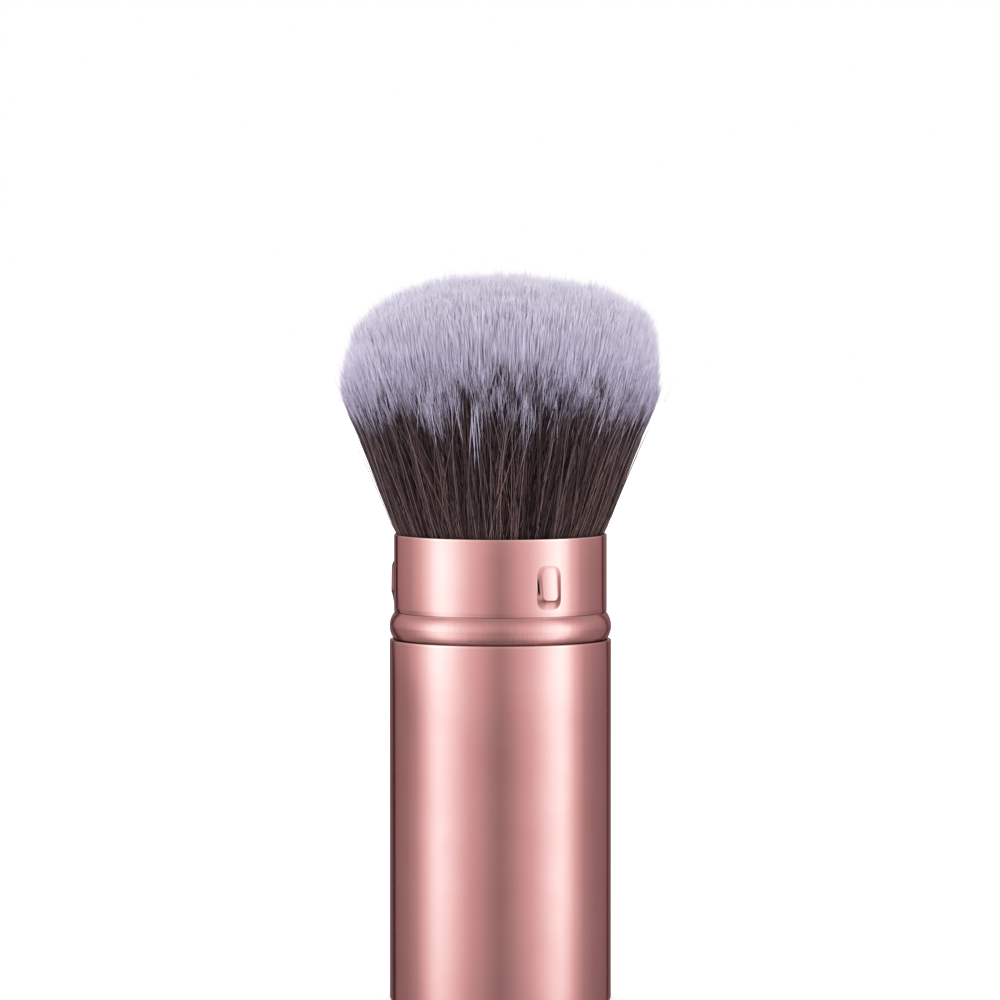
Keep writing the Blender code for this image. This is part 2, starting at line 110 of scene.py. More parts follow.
# How far each bump stands out at its lower and its upper end
BUMP_LIFTS = ((0.00054, 0.00016), (0.00036, 0.00032), (0.00036, 0.00032))
BUMP_FOOT = (0.00165, 0.00276, 0.00115)
BUMP_TOPS = ((0.00094, 0.00180, 0.00045),) + 2 * ((0.00068, 0.00145, 0.00042),)
BUMP_CROWN = 0.000045
BUMP_TOP_RISE = 0.00026
BUMP_TOP_SHIFT = -0.00007
BUMP_REACH = 0.0031
BUMP_STEP = 0.00005
# How the skirts bend at a bump's left and right, and the lesser bend round the plate's lower edge
BUMP_BENDS = (1.4, 1.9)
LOW_BEND_SHARE = 0.45
LOW_BEND_REACH = (-0.0002, 0.0006)
# The nick at a bump's left, and the lumps on its plate
NICK_ACROSS = -0.00148
NICK_LEAN = -0.08
NICK_HALF_WIDTH = 0.00016
NICK_HALF_HEIGHT = 0.00095
NICK_DEPTH = 0.00005
LUMP_HEIGHT = 0.000003
LUMP_PITCH = 0.00042
LUMP_WANDER = 3
LUMP_RATES = (0.6, 0.8)
LUMP_PHASE = 2

# Slide tube and stop ring
TUBE_RADIUS = 0.01215
TUBE_WALL = 0.0005
TUBE_HEAD_RADIUS = 0.01295
SHOULDER_Z = RING_TOP_Z + 0.0003
MOUTH_GAP = 0.0002
FLARE_SLOPE = 0.40
FINGER_WIDTH = 0.0040
FINGER_LENGTH = 0.0058
SLIT_WIDTH = 0.0008
PAD_WIDTH = 0.0030
PAD_HEIGHT = 0.0029
PAD_FOOT = 0.0004
PAD_RAMP = 0.0008
PAD_RADIUS = 0.01265
PAD_STEPS = 12
OVERRUN = 0.0010
TUBE_SHARP_ANGLE = math.radians(30)
RING_BORE = 0.01235
RING_CHAMFER = 0.0003

# Tuft outline: heights over the rim, and the radius there
OUTLINE_HEIGHTS = (-0.0053, -0.0037, -0.0013, 0.0, 0.0010, 0.0128, 0.0163, 0.0330)
OUTLINE_RADII = (0.0108, 0.0114, 0.01235, 0.01295, 0.01355, 0.01798, 0.01960, 0.02580)
TUFT_RADIUS = 0.0200

# Cut dome over the tuft, and the search for where a hair meets it
DOME_Z = RIM_Z + 0.0190
DOME_HEIGHT = 0.0137
DOME_POWER = 1.95
DOME_ROUND = 0.305
DOME_LEAN = 0.0016
SEARCH_DROP = 0.003
HALVINGS = 24

# Tuft
SEED = 20
LOCKS = 24
CORE_SHARE = 0.80
CORE_DROP = 0.0032
CORE_STEPS = (9, 14, 4)
CORE_TONES = (4.2, 4.8, 4.5)

# Hairs are drawn together into wisps, and wisps into clumps
WISPS = 4200
CLUMPS = 620
CLUMP_RING = (0.76, 1.0, 1.3)

# Groups of hairs. A ring of the unit disc has its edges and a bias outwards, a bend a lean and a wave,
# a taper its start and the share left at the tip, and tones the values of a beta or an even draw.
Hairs = namedtuple("Hairs", "count ring shares bend radius taper tones")
HAIR_RADIUS = 0.000064
LONG_SHARES = (0, 0.15, 0.30, 0.44, 0.58, 0.72, 0.86, 1.0)
OUTER = Hairs(
    count=15500, ring=(CORE_SHARE - 0.02, 1.0, 1.25), bend=(0.008, 0.008), radius=HAIR_RADIUS,
    shares=(0, 0.17, 0.34, 0.50, 0.64, 0.78, 0.93, 1.0), taper=(0.70, 0.40), tones=(0.45, 2.5),
)
CROWN = Hairs(
    count=26000, ring=(0.0, CORE_SHARE + 0.01), bend=(0.014, 0.004), radius=0.000056,
    shares=(0, 0.38, 0.70, 0.93, 1.0), taper=(0.55, 0.40), tones=(0.8, 2.6),
)
STRAY = Hairs(
    count=130, ring=(0.97, 1.0), bend=(0.008, 0.035), radius=0.6 * HAIR_RADIUS,
    shares=LONG_SHARES, taper=(0.6, 0.3), tones=(0.3, 1.0),
)
RIM = Hairs(
    count=420, ring=(0.985, 1.0), bend=(0.0, 0.0), radius=0.45 * HAIR_RADIUS,
    shares=(0, 0.25, 0.5, 0.75, 1.0), taper=(0.4, 0.3), tones=(0.45, 1.0),
)
LOOSE = Hairs(
    count=120, ring=(0.99, 1.0), bend=(0.02, 0.008), radius=0.75 * HAIR_RADIUS,
    shares=LONG_SHARES, taper=(0.6, 0.3), tones=(0.5, 1.0),
)
WIDTH_RANGE = (0.80, 1.20)
LEAN_POWER = 1.6
RIPPLE_TURNS = (0.5, 1.5)

# How hairs sway sideways at their roots, and a little the other way at their tips
ROOT_SWAY = 0.125
MOST_SWAY = 0.40
SWAY_RISE = 0.002
TIP_SWAY_SHARE = -0.22
WIDE_SWAY = 1.2
WIDE_SWAY_SHARE = 0.25

# Ends of the hairs
ROOT_Z = FERRULE_TOP_Z + 0.0002
CROWN_LENGTH = 0.0110
CROWN_LENGTHS = (0.9, 1.1)
TIP_SPREAD = 0.00028
STRAY_TIP_SHARE = 0.98
STRAY_SPREAD = 0.012
RIM_TIPS = (0.002, 0.017)
RIM_LENGTHS = (0.006, 0.013)
RIM_ROOT_DROP = 0.0030
RIM_TUCK = 0.05
RIM_SWAY = 0.15
LOOSE_TIPS = (-0.004, 0.0015)
LOOSE_SPREADS = (0.01, 0.055)

# Dye: where its line lies and how it strays; and painted shade, as the dark part reaching higher on
# deeper wisps
DIP_Z = RIM_Z + 0.0161
DIP_SAG = 0.0022
DIP_SPREAD = 0.0010
WISP_DIP_SPREAD = 1.3 * DIP_SPREAD
HAIR_DIP_SPREAD = 0.7 * DIP_SPREAD
LOOSE_DIP_SHIFT = -0.001
ODD_DIP = 0.0030
MOST_ODD_DIP = 0.0075
ODD_WISPS = (-0.7, 0, 0, 0, 0, 0, 1)
ODD_HAIR_SHARE = 0.12
DEEP_SHADE_DIP = 0.0024
DEEP_SHADE_REACH = 0.034
SIDE_DIPS = (0.45, 0.55)

# Tones, from 0 for a common hair to 1 for an odd one, and where a hair lies on the map
TONES = 256
TONE_PLACES = (0.2, 0.6)
COMMON_TONE = 0.2
LEAST_TONE = 0.01
SIDE_TONES = (0.5, 0.5)
WISP_TONE_SPREAD = 0.09
UV_REACH = 0.060
CAP_RISE = 0.02

# Colours
ROSE = (0.80, 0.358, 0.350)
PALE_ROSE = (0.95, 0.62, 0.59)
TUBE_ROSE = (0.55, 0.19, 0.18)
MOULDED_BLACK = (0.030, 0.030, 0.032)
POST_GREY = (0.16, 0.16, 0.17)
ALUMINIUM = (0.80, 0.80, 0.81)
PALE_ALUMINIUM = (0.92, 0.92, 0.92)
AMBER = (0.42, 0.26, 0.09)
EDGE_TINT = (0.82, 0.54, 0.58, 1.0)
# Painted shade at the bead's foot
FOOT_SHADE_TONE = (0.46, 0.34, 0.34)
# Painted shade: near-black in the bumps' nicks
NICK_SHADE_TONE = (0.003, 0.001, 0.001)

# Finishes. A range is two noise values and what they turn into.
NOISE_RANGE = (0.30, 0.70)
SPIN_ROUGHNESS = (0.92, 1.10)
MOTTLE_RANGE = (0.35, 0.65, 0.0, 0.10)
# The paler, mottled band round a lip
PALE_LIP_RANGE = (0.30, 0.60, 0.25, 0.85)
PALE_LIP_BAND = 0.00005
PALE_LIP_FADE = 0.0003
SPARK_ROUGHNESS = (0.85, 1.15)
FLOW_RANGE = (0.35, 0.65, 0.0, 0.5)
FLOW_PALER = (1.25, 0.01)
CLOUD_SHADE = 0.55
PIT_RANGE = (0.0, 0.25, 0.0, 1.0)

# Bead finish: dull and rolled, with painted shade in dark bands at the crease and the foot
BEAD_DULLNESS = 0.06
ROLL_FADE = 0.0001
CREASE_BAND = (-0.00002, 0.00004)
CREASE_FADE = 0.00007
CREASE_SHADE = 0.45
FOOT_BAND = (-0.0002, 0.00022)
FOOT_FADE = 0.0001

# Hair finish
HAIR_ROUGHNESS = (0.55, 0.38)
HAIR_GLOSS = 0.14


def new_object(name, data):
    """An object with this mesh, camera or lamp, linked to the scene."""
    made = bpy.data.objects.new(name, data)
    bpy.context.scene.collection.objects.link(made)
    return made


def aim(item, place, target):
    """Puts a camera or a lamp at a place, aimed at a target."""
    item.location = place
    towards = Vector(target) - item.location
    item.rotation_euler = towards.to_track_quat("-Z", "Y").to_euler()


def make_camera():
    """A long lens, slightly over the brush and aimed at its middle."""
    data = bpy.data.cameras.new("camera")
    data.lens = LENS_MM
    data.sensor_width = SENSOR_MM
    camera = new_object("camera", data)
    aim(camera, (CAMERA_SIDE, -CAMERA_DISTANCE, CAMERA_HEIGHT), (CAMERA_SIDE, 0, AIM_HEIGHT))
    bpy.context.scene.camera = camera


def fill(tree, node, inputs):
    """Gives a node's inputs values, or the output sockets that feed them."""
    for key, value in inputs.items():
        if isinstance(value, bpy.types.NodeSocket):
            tree.links.new(value, node.inputs[key])
        else:
            node.inputs[key].default_value = value


def add_node(tree, kind, inputs=None, **settings):
    """A shader node with its settings and inputs."""
    made = tree.nodes.new(kind)
    for key, value in settings.items():
        setattr(made, key, value)
    fill(tree, made, inputs or {})
    return made


def noise(tree, place, scale, detail=2.0):
    """A noise value at a place, at a scale in cycles a metre for all axes or for each."""
    if isinstance(scale, tuple):
        place = add_node(tree, "ShaderNodeMapping", {"Vector": place, "Scale": scale}).outputs["Vector"]
        scale = 1.0
    inputs = {"Vector": place, "Scale": scale, "Detail": detail}
    return add_node(tree, "ShaderNodeTexNoise", inputs).outputs["Fac"]


def remap(tree, value, low, high, to_low, to_high):
    """A value moved from one range to another, and held inside it."""
    inputs = {"Value": value, "From Min": low, "From Max": high}
    inputs.update({"To Min": to_low, "To Max": to_high})
    return add_node(tree, "ShaderNodeMapRange", inputs).outputs["Result"]


# The Mix node's sockets for a share and two colours, and for the mixed colour
MIX_INPUTS = (0, 6, 7)
MIX_OUTPUT = 2


def mix_colour(tree, share, *colours):
    """One colour turning into another."""
    colours = [part if isinstance(part, bpy.types.NodeSocket) else (*part, 1.0) for part in colours]
    inputs = dict(zip(MIX_INPUTS, (share, *colours)))
    return add_node(tree, "ShaderNodeMix", inputs, data_type="RGBA").outputs[MIX_OUTPUT]


def combine(tree, operation, first, second):
    """Two values put together by a math operation."""
    return add_node(tree, "ShaderNodeMath", {0: first, 1: second}, operation=operation).outputs[0]


def new_material(name):
    """A material, its node tree, and its Principled shader."""
    made = bpy.data.materials.new(name)
    made.use_nodes = True
    return made, made.node_tree, made.node_tree.nodes["Principled BSDF"]


def bump(tree, height, distance, under=None):
    """A bump from a height value, over another bump if there is one."""
    inputs = {"Height": height, "Distance": distance}
    if under is not None:
        inputs["Normal"] = under
    return add_node(tree, "ShaderNodeBump", inputs).outputs["Normal"]


def height_band(tree, height, low, high, fade):
    """One between two heights, fading to nothing outside them."""
    above = remap(tree, height, low - fade, low, 0.0, 1.0)
    below = remap(tree, height, high, high + fade, 1.0, 0.0)
    return combine(tree, "MULTIPLY", above, below)


def bead_finish_and_shade(tree, place, height, bead, colour, finish, spread, normal):
    """Makes a bead duller, with fine upright marks from rolling, and painted shade at its crease, foot
    and nicks.
    """
    low, high = bead
    rolled = height_band(tree, height, low, high, ROLL_FADE)
    marks = combine(tree, "MULTIPLY", noise(tree, place, scale=(2300, 2300, 700)), rolled)
    normal = bump(tree, marks, distance=0.000014, under=normal)
    duller = combine(tree, "MULTIPLY", rolled, BEAD_DULLNESS)
    spread = combine(tree, "ADD", spread, duller)
    # Painted shade: a darker band along the crease over the bead
    crease = height_band(tree, height, high + CREASE_BAND[0], high + CREASE_BAND[1], CREASE_FADE)
    finish = mix_colour(tree, crease, finish, tuple(part * CREASE_SHADE for part in colour))
    # Painted shade: a darker tone at the bead's foot, by the gap to the barrel
    foot = height_band(tree, height, low + FOOT_BAND[0], low + FOOT_BAND[1], FOOT_FADE)
    finish = mix_colour(tree, foot, finish, FOOT_SHADE_TONE)
    # Painted shade: near-black where the collar's nick attribute marks a bump's nick
    nick_shade = add_node(tree, "ShaderNodeAttribute", attribute_name="nick_shade").outputs["Fac"]
    return mix_colour(tree, nick_shade, finish, NICK_SHADE_TONE), spread, normal


def anodised(name, colour, pale, roughness, lip=None, bead=None):
    """Aluminium with fine rings from spinning, a faint mottle, and a paler, mottled band at the lip."""
    made, tree, shader = new_material(name)
    place = add_node(tree, "ShaderNodeTexCoord").outputs["Object"]
    height = add_node(tree, "ShaderNodeSeparateXYZ", {"Vector": place}).outputs["Z"]
    rings = noise(tree, place, scale=(40, 40, 2400), detail=3.0)
    mottle = noise(tree, place, scale=160.0, detail=3.0)
    lip_band = 0.0
    if lip:
        # A paler, mottled band round the lip
        lip_band = height_band(tree, height, lip - PALE_LIP_BAND, lip + PALE_LIP_BAND, PALE_LIP_FADE)
    paler_lip = combine(tree, "MULTIPLY", lip_band, remap(tree, mottle, *PALE_LIP_RANGE))
    tinted = mix_colour(tree, remap(tree, mottle, *MOTTLE_RANGE), colour, pale)
    finish = mix_colour(tree, paler_lip, tinted, pale)
    spread = remap(tree, rings, *NOISE_RANGE, *(roughness * share for share in SPIN_ROUGHNESS))
    normal = bump(tree, rings, distance=0.0000012)
    normal = bump(tree, noise(tree, place, scale=5200.0), distance=0.0000006, under=normal)
    if bead:
        finish, spread, normal = bead_finish_and_shade(tree, place, height, bead, colour, finish, spread, normal)
    fill(tree, shader, {"Base Color": finish, "Roughness": spread, "Normal": normal})
    fill(tree, shader, {"Metallic": 1.0, "Specular Tint": EDGE_TINT})
    return made


def moulding(name, colour, roughness, metallic=0.0):
    """Moulded plastic with a fine spark texture and faint flow marks."""
    made, tree, shader = new_material(name)
    place = add_node(tree, "ShaderNodeTexCoord").outputs["Object"]
    grain = noise(tree, place, scale=3800.0, detail=3.0)
    flow = remap(tree, noise(tree, place, scale=90.0, detail=4.0), *FLOW_RANGE)
    paler = tuple(min(1.0, part * FLOW_PALER[0] + FLOW_PALER[1]) for part in colour)
    spread = remap(tree, grain, *NOISE_RANGE, *(roughness * share for share in SPARK_ROUGHNESS))
    fill(tree, shader, {"Base Color": mix_colour(tree, flow, colour, paler), "Metallic": metallic})
    fill(tree, shader, {"Roughness": spread, "Normal": bump(tree, grain, distance=0.000004)})
    return made


def cast_resin(name, colour, roughness):
    """Cured resin with cloudy depth and small bubbles at its face."""
    made, tree, shader = new_material(name)
    place = add_node(tree, "ShaderNodeTexCoord").outputs["Object"]
    cloud = noise(tree, place, scale=400.0, detail=4.0)
    dark = tuple(part * CLOUD_SHADE for part in colour)
    bubble = add_node(tree, "ShaderNodeTexVoronoi", {"Vector": place, "Scale": 1400.0})
    pits = remap(tree, bubble.outputs["Distance"], *PIT_RANGE)
    fill(tree, shader, {"Base Color": mix_colour(tree, cloud, dark, colour), "Roughness": roughness})
    fill(tree, shader, {"Normal": bump(tree, pits, distance=0.00003)})
    return made


def colour_ramp(tree, value, places, colours):
    """A ramp through colours, each at its place."""
    made = add_node(tree, "ShaderNodeValToRGB", {"Fac": value})
    elements = made.color_ramp.elements
    while len(elements) < len(places):
        elements.new(1.0)
    for element, place, colour in zip(elements, places, colours):
        element.position = place
        element.color = (*colour, 1.0)
    return made.outputs["Color"]


# Heights from the dip line, and the colours there of a common hair and of an odd one. In the dark part
# the odd hairs are lighter, partly their own tone and partly painted highlight; in the pale part they
# are the dark lines, painted shade for the gaps between clumps. Just over the dip line the common hair
# is darker, partly its dye and partly painted shade.
HAIR_COLOURS = (
    (-0.0240, (0.011, 0.003, 0.004), (0.285, 0.172, 0.172)),
    (-0.0060, (0.012, 0.003, 0.004), (0.292, 0.176, 0.178)),
    (-0.0008, (0.026, 0.013, 0.017), (0.320, 0.208, 0.224)),
    (0.0005, (0.49, 0.44, 0.61), (0.26, 0.21, 0.28)),
    (0.0028, (0.75, 0.69, 0.89), (0.25, 0.20, 0.28)),
    (0.0065, (0.87, 0.82, 0.98), (0.36, 0.31, 0.41)),
    (0.0120, (0.85, 0.81, 0.93), (0.66, 0.61, 0.74)),
    (0.0170, (0.77, 0.74, 0.84), (0.72, 0.69, 0.79)),
)


def map_height(rise):
    """The v on the hair's map of a height from the dip line."""
    return 0.5 + rise / UV_REACH


def hair_material(name):
    """Dipped synthetic hair. The map's u picks a tone, and its v is the height from the dip line."""
    made, tree, shader = new_material(name)
    place = add_node(tree, "ShaderNodeUVMap", uv_map="OFBake").outputs["UV"]
    parts = add_node(tree, "ShaderNodeSeparateXYZ", {"Vector": place})
    tone, height = parts.outputs["X"], parts.outputs["Y"]
    rises, *colours = zip(*HAIR_COLOURS)
    places = [map_height(rise) for rise in rises]
    ramps = [colour_ramp(tree, height, places, stops) for stops in colours]
    spread = remap(tree, tone, 0.0, 1.0, *HAIR_ROUGHNESS)
    # The tone mixes the common colour with the odd one, which holds painted highlight and shade
    fill(tree, shader, {"Base Color": mix_colour(tree, tone, *ramps), "Roughness": spread})
    fill(tree, shader, {"Specular IOR Level": HAIR_GLOSS})
    return made


def arc(centre, radius, start, end, steps):
    """Points of an arc from one angle to another, from +R towards +Z."""
    angles = [start + (end - start) * i / steps for i in range(steps + 1)]
    return [(centre[0] + radius * math.cos(a), centre[1] + radius * math.sin(a)) for a in angles]


def turned_object(name, profile, turns, closed, sharp=SHARP_ANGLE, lift=None):
    """An object from a profile of (radius, height) points, set at each turn round the axis.

    A lift says how far its points stand out at each azimuth and height.
    """
    profile = np.array(profile)
    radii, heights = profile[:, :1] + 0 * turns, profile[:, 1:] + 0 * turns
    if lift:
        radii = radii + lift(turns + 0 * radii, heights)
    rows = np.stack((radii * np.sin(turns), -radii * np.cos(turns), heights), 2)
    count, columns = radii.shape
    start = np.arange(columns)
    ahead = (start + 1) % columns
    faces = []
    for row in range(count if closed else count - 1):
        here, above = row * columns, ((row + 1) % count) * columns
        faces.append(np.stack((start + here, ahead + here, ahead + above, start + above), 1))
    mesh = bpy.data.meshes.new(name)
    mesh.from_pydata(rows.reshape(-1, 3).tolist(), [], np.concatenate(faces).tolist())
    made = bmesh.new()
    made.from_mesh(mesh)
    bmesh.ops.remove_doubles(made, verts=made.verts, dist=WELD)
    bmesh.ops.recalc_face_normals(made, faces=made.faces)
    made.to_mesh(mesh)
    made.free()
    mesh.shade_smooth()
    mesh.set_sharp_from_angle(angle=sharp)
    return new_object(name, mesh)


def lathe(name, profile, closed=False, columns=SEGMENTS):
    """A profile turned once round the axis in even steps."""
    return turned_object(name, profile, np.linspace(0, math.tau, columns, endpoint=False), closed)


def paint(piece, material):
    """Gives a piece one material."""
    piece.data.materials.clear()
    piece.data.materials.append(material)


def dress(piece, body, slot, material, *nodes):
    """Gives a piece its material and its body, and hides the nodes that it stands for. The slot is not
    used.
    """
    paint(piece, material)
    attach(piece, body)
    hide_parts(*nodes)


def rounded_lip(outer, inner, top):
    """A wall's top edge, rounded from its outer face to its inner one."""
    points = arc((outer - LIP_ROUND, top - LIP_ROUND), LIP_ROUND, 0, QUARTER, LIP_STEPS)
    points += arc((inner + LIP_ROUND, top - LIP_ROUND), LIP_ROUND, QUARTER, 2 * QUARTER, LIP_STEPS)
    return points


def make_barrel(material):
    """The drawn cup, with its rounded base corner and its rounded lip."""
    corner = (BARREL_RADIUS - BARREL_CORNER, BARREL_CORNER)
    outside, inside = CORNER_STEPS
    profile = [(0, 0)] + arc(corner, BARREL_CORNER, -QUARTER, 0, outside)
    profile += rounded_lip(BARREL_RADIUS, BARREL_RADIUS - BARREL_WALL, BARREL_TOP_Z)
    profile += arc(corner, BARREL_CORNER - BARREL_WALL, 0, -QUARTER, inside) + [(0, BARREL_WALL)]
    piece = lathe("barrel_shell_fine", profile)
    dress(piece, "barrel", "barrel_metal", material, "barrel_shell")


def make_stop_ring(material):
    """The pressed-in ring at the barrel's mouth."""
    profile = [
        (RING_BORE, RING_Z),
        (RING_RADIUS, RING_Z),
        (RING_RADIUS, RING_TOP_Z - RING_CHAMFER),
        (RING_RADIUS - RING_CHAMFER, RING_TOP_Z),
        (RING_BORE + RING_CHAMFER, RING_TOP_Z),
        (RING_BORE, RING_TOP_Z - RING_CHAMFER),
    ]
    piece = lathe("stop_ring_fine", profile, closed=True)
    dress(piece, "barrel", "lining_plastic", material, "stop_ring")


def collar_outline(inset):
    """The collar's face from its foot to over its bumps, inset by nothing or by the wall."""
    crease_z = COLLAR_Z + BEAD_HEIGHT
    low, high = BEAD_CURVES
    widest, bead_z = COLLAR_RADIUS + BEAD_BULGE, COLLAR_Z + BEAD_CENTRE
    start = -math.asin((BEAD_CENTRE + COLLAR_DROP) / low)
    end = math.asin((BEAD_HEIGHT - BEAD_CENTRE) / high)
    points = arc((widest - low, bead_z), low - inset, start, 0, BEAD_STEPS[0])[:-1]
    points += arc((widest - high, bead_z), high - inset, 0, end * BEAD_END_SHARE, BEAD_STEPS[1])
    for share in CREASE_SHARES:
        drawn = CREASE_DEPTH * (1 - share) ** 2
        points.append((COLLAR_RADIUS - inset - drawn, crease_z + share * CREASE_RISE))
    start = max(BUMP_Z - BUMP_REACH, crease_z + CREASE_RISE)
    steps = int((BUMP_Z + BUMP_REACH - start) / BUMP_STEP)
    points += [(COLLAR_RADIUS - inset, start + i * BUMP_STEP) for i in range(steps + 1)]
    return points


def plate_distance(across, up, size):
    """How far a point lies outside a rounded plate of a half width, a half height and a corner."""
    half_width, half_height, corner = size
    right = np.abs(across) - (half_width - corner)
    above = np.abs(up) - (half_height - corner)
    outside = np.hypot(np.maximum(right, 0), np.maximum(above, 0))
    return outside + np.minimum(np.maximum(right, above), 0) - corner


def bump_places(azimuth, height):
    """How far points lie across and up from the middle of each bump."""
    for copy in range(BUMP_COUNT):
        turn = azimuth - BUMP_AZIMUTH - math.tau * copy / BUMP_COUNT
        turn = (turn + math.pi) % math.tau - math.pi
        yield turn * COLLAR_RADIUS, height - BUMP_Z


def nicked(across, up):
    """One in the nick that the press leaves at a bump's left side, and nothing outside it."""
    middle = NICK_ACROSS + NICK_LEAN * up
    inside = ((across - middle) / NICK_HALF_WIDTH) ** 4 + (up / NICK_HALF_HEIGHT) ** 6
    return np.exp(-inside)


def bump_lift(azimuth, height):
    """How far the pressed bumps stand out at each point of the band.

    A bump is a flat plate, a little uneven from the press, with skirts round it.
    """
    lift = np.zeros_like(azimuth)
    turn = math.tau / LUMP_PITCH
    for (across, up), lifts, size in zip(bump_places(azimuth, height), BUMP_LIFTS, BUMP_TOPS):
        raised = up - BUMP_TOP_RISE
        top = plate_distance(across - BUMP_TOP_SHIFT, raised, size)
        foot = plate_distance(across, up, BUMP_FOOT)
        share = np.clip(top / np.maximum(top - foot, 1e-9), 0, 1)
        low_edge = [end - size[1] for end in LOW_BEND_REACH]
        bend = np.interp(across, (-size[0], size[0]), BUMP_BENDS)
        bend = bend * np.interp(raised, low_edge, (LOW_BEND_SHARE, 1.0))
        plate = np.interp(raised, (-size[1], size[1]), lifts) - BUMP_CROWN * (across / size[0]) ** 2
        wander = LUMP_WANDER * np.sin(LUMP_RATES[0] * turn * up)
        lumps = np.sin(turn * across + wander) * np.sin(LUMP_RATES[1] * turn * up + LUMP_PHASE)
        raised_part = plate * (1 - share**bend) + LUMP_HEIGHT * lumps * (1 - share)
        lift += raised_part * (foot < 0) - NICK_DEPTH * nicked(across, up)
    return lift


def make_collar(material):
    """The pressed collar: bead, crease, band with its bumps, and a rounded rim."""
    outer = collar_outline(0.0)
    inner = collar_outline(COLLAR_WALL)[::-1]
    profile = outer + rounded_lip(COLLAR_RADIUS, COLLAR_RADIUS - COLLAR_WALL, RIM_Z) + inner
    half = BUMP_REACH / COLLAR_RADIUS
    fine = np.arange(-half, half, BUMP_STEP / COLLAR_RADIUS)
    pitch = math.tau / BUMP_COUNT
    plain = np.linspace(half, pitch - half, PLAIN_STEPS, endpoint=False)
    once = np.concatenate((fine, plain)) + BUMP_AZIMUTH
    turns = np.concatenate([once + pitch * copy for copy in range(BUMP_COUNT)])
    piece = turned_object("collar_shell_fine", profile, turns, True, COLLAR_SHARP_ANGLE, bump_lift)
    points = np.array([vert.co for vert in piece.data.vertices])
    azimuths = np.arctan2(points[:, 0], -points[:, 1])
    # Painted shade: a near-black mark in each bump's nick, stored as a point attribute
    shade = sum(nicked(*place) for place in bump_places(azimuths, points[:, 2]))
    attribute = piece.data.attributes.new("nick_shade", "FLOAT", "POINT")
    attribute.data.foreach_set("value", shade.astype(np.float32))
    dress(piece, "collar", "collar_metal", material, "collar_shell")


def on_circle(azimuth, radius, height):
    """A point at an azimuth, a radius and a height."""
    return (radius * math.sin(azimuth), -radius * math.cos(azimuth), height)


def pad_mesh(azimuth):
    """A catch pad with a flat top and a ramp at its foot."""
    inside = TUBE_RADIUS - TUBE_WALL / 2
    low = TUBE_Z + PAD_FOOT
    outline = [
        (inside, low),
        (TUBE_RADIUS, low),
        (PAD_RADIUS, low + PAD_RAMP),
        (PAD_RADIUS, low + PAD_HEIGHT),
        (inside, low + PAD_HEIGHT),
    ]
    made = bmesh.new()
    half = PAD_WIDTH / 2 / PAD_RADIUS
    corners = [made.verts.new(on_circle(azimuth - half, radius, height)) for radius, height in outline]
    made.faces.new(corners)
    around = {"axis": (0, 0, 1), "cent": (0, 0, 0), "angle": 2 * half, "steps": PAD_STEPS}
    bmesh.ops.spin(made, geom=made.faces[:] + made.edges[:], **around)
    bmesh.ops.recalc_face_normals(made, faces=made.faces)
    return made


def slit_mesh(azimuth):
    """A radial blade as wide and as long as a slit."""
    made = bmesh.new()
    bmesh.ops.create_cube(made, size=1.0)
    length = FINGER_LENGTH + OVERRUN
    size = (SLIT_WIDTH, TUBE_WALL + 2 * OVERRUN, length)
    bmesh.ops.scale(made, vec=size, verts=made.verts)
    middle = on_circle(0, TUBE_RADIUS - TUBE_WALL / 2, TUBE_Z + FINGER_LENGTH - length / 2)
    bmesh.ops.translate(made, vec=middle, verts=made.verts)
    bmesh.ops.rotate(made, verts=made.verts, matrix=Matrix.Rotation(azimuth, 3, "Z"))
    return made


def carve(piece, helper_mesh, operation):
    """Joins or cuts a piece with a helper, which is then deleted."""
    mesh = bpy.data.meshes.new("helper")
    helper_mesh.to_mesh(mesh)
    helper_mesh.free()
    helper = new_object("helper", mesh)
    modifier = piece.modifiers.new("carve", "BOOLEAN")
    modifier.operation = operation
    modifier.object = helper
    bpy.context.view_layer.update()
    done = piece.evaluated_get(bpy.context.evaluated_depsgraph_get())
    carved = bpy.data.meshes.new_from_object(done)
    piece.modifiers.clear()
    piece.data = carved
    bpy.data.objects.remove(helper)


def make_slide_tube(material):
    """The tube in the collar: a flared mouth, a shoulder, and three spring fingers with pads."""
    bore = TUBE_RADIUS - TUBE_WALL
    mouth = outline_radius(TUBE_TOP_Z) + MOUTH_GAP
    profile = [
        (TUBE_RADIUS, TUBE_Z),
        (TUBE_RADIUS, SHOULDER_Z),
        (TUBE_HEAD_RADIUS, SHOULDER_Z + TUBE_HEAD_RADIUS - TUBE_RADIUS),
        (TUBE_HEAD_RADIUS, TUBE_TOP_Z),
        (mouth, TUBE_TOP_Z),
        (bore, TUBE_TOP_Z - (mouth - bore) / FLARE_SLOPE),
        (bore, TUBE_Z),
    ]
    piece = lathe("slide_tube_fine", profile, closed=True)
    slit_turn = (FINGER_WIDTH + SLIT_WIDTH) / 2 / TUBE_RADIUS
    for copy in range(BUMP_COUNT):
        azimuth = BUMP_AZIMUTH + math.tau * copy / BUMP_COUNT
        carve(piece, pad_mesh(azimuth), "UNION")
        carve(piece, slit_mesh(azimuth - slit_turn), "DIFFERENCE")
        carve(piece, slit_mesh(azimuth + slit_turn), "DIFFERENCE")
    piece.data.shade_smooth()
    piece.data.set_sharp_from_angle(angle=TUBE_SHARP_ANGLE)
    dress(piece, "collar", "tube_plating", material, "slide_tube")


def outline_radius(heights):
    """The tuft's radius at each height."""
    return np.interp(heights - RIM_Z, OUTLINE_HEIGHTS, OUTLINE_RADII)


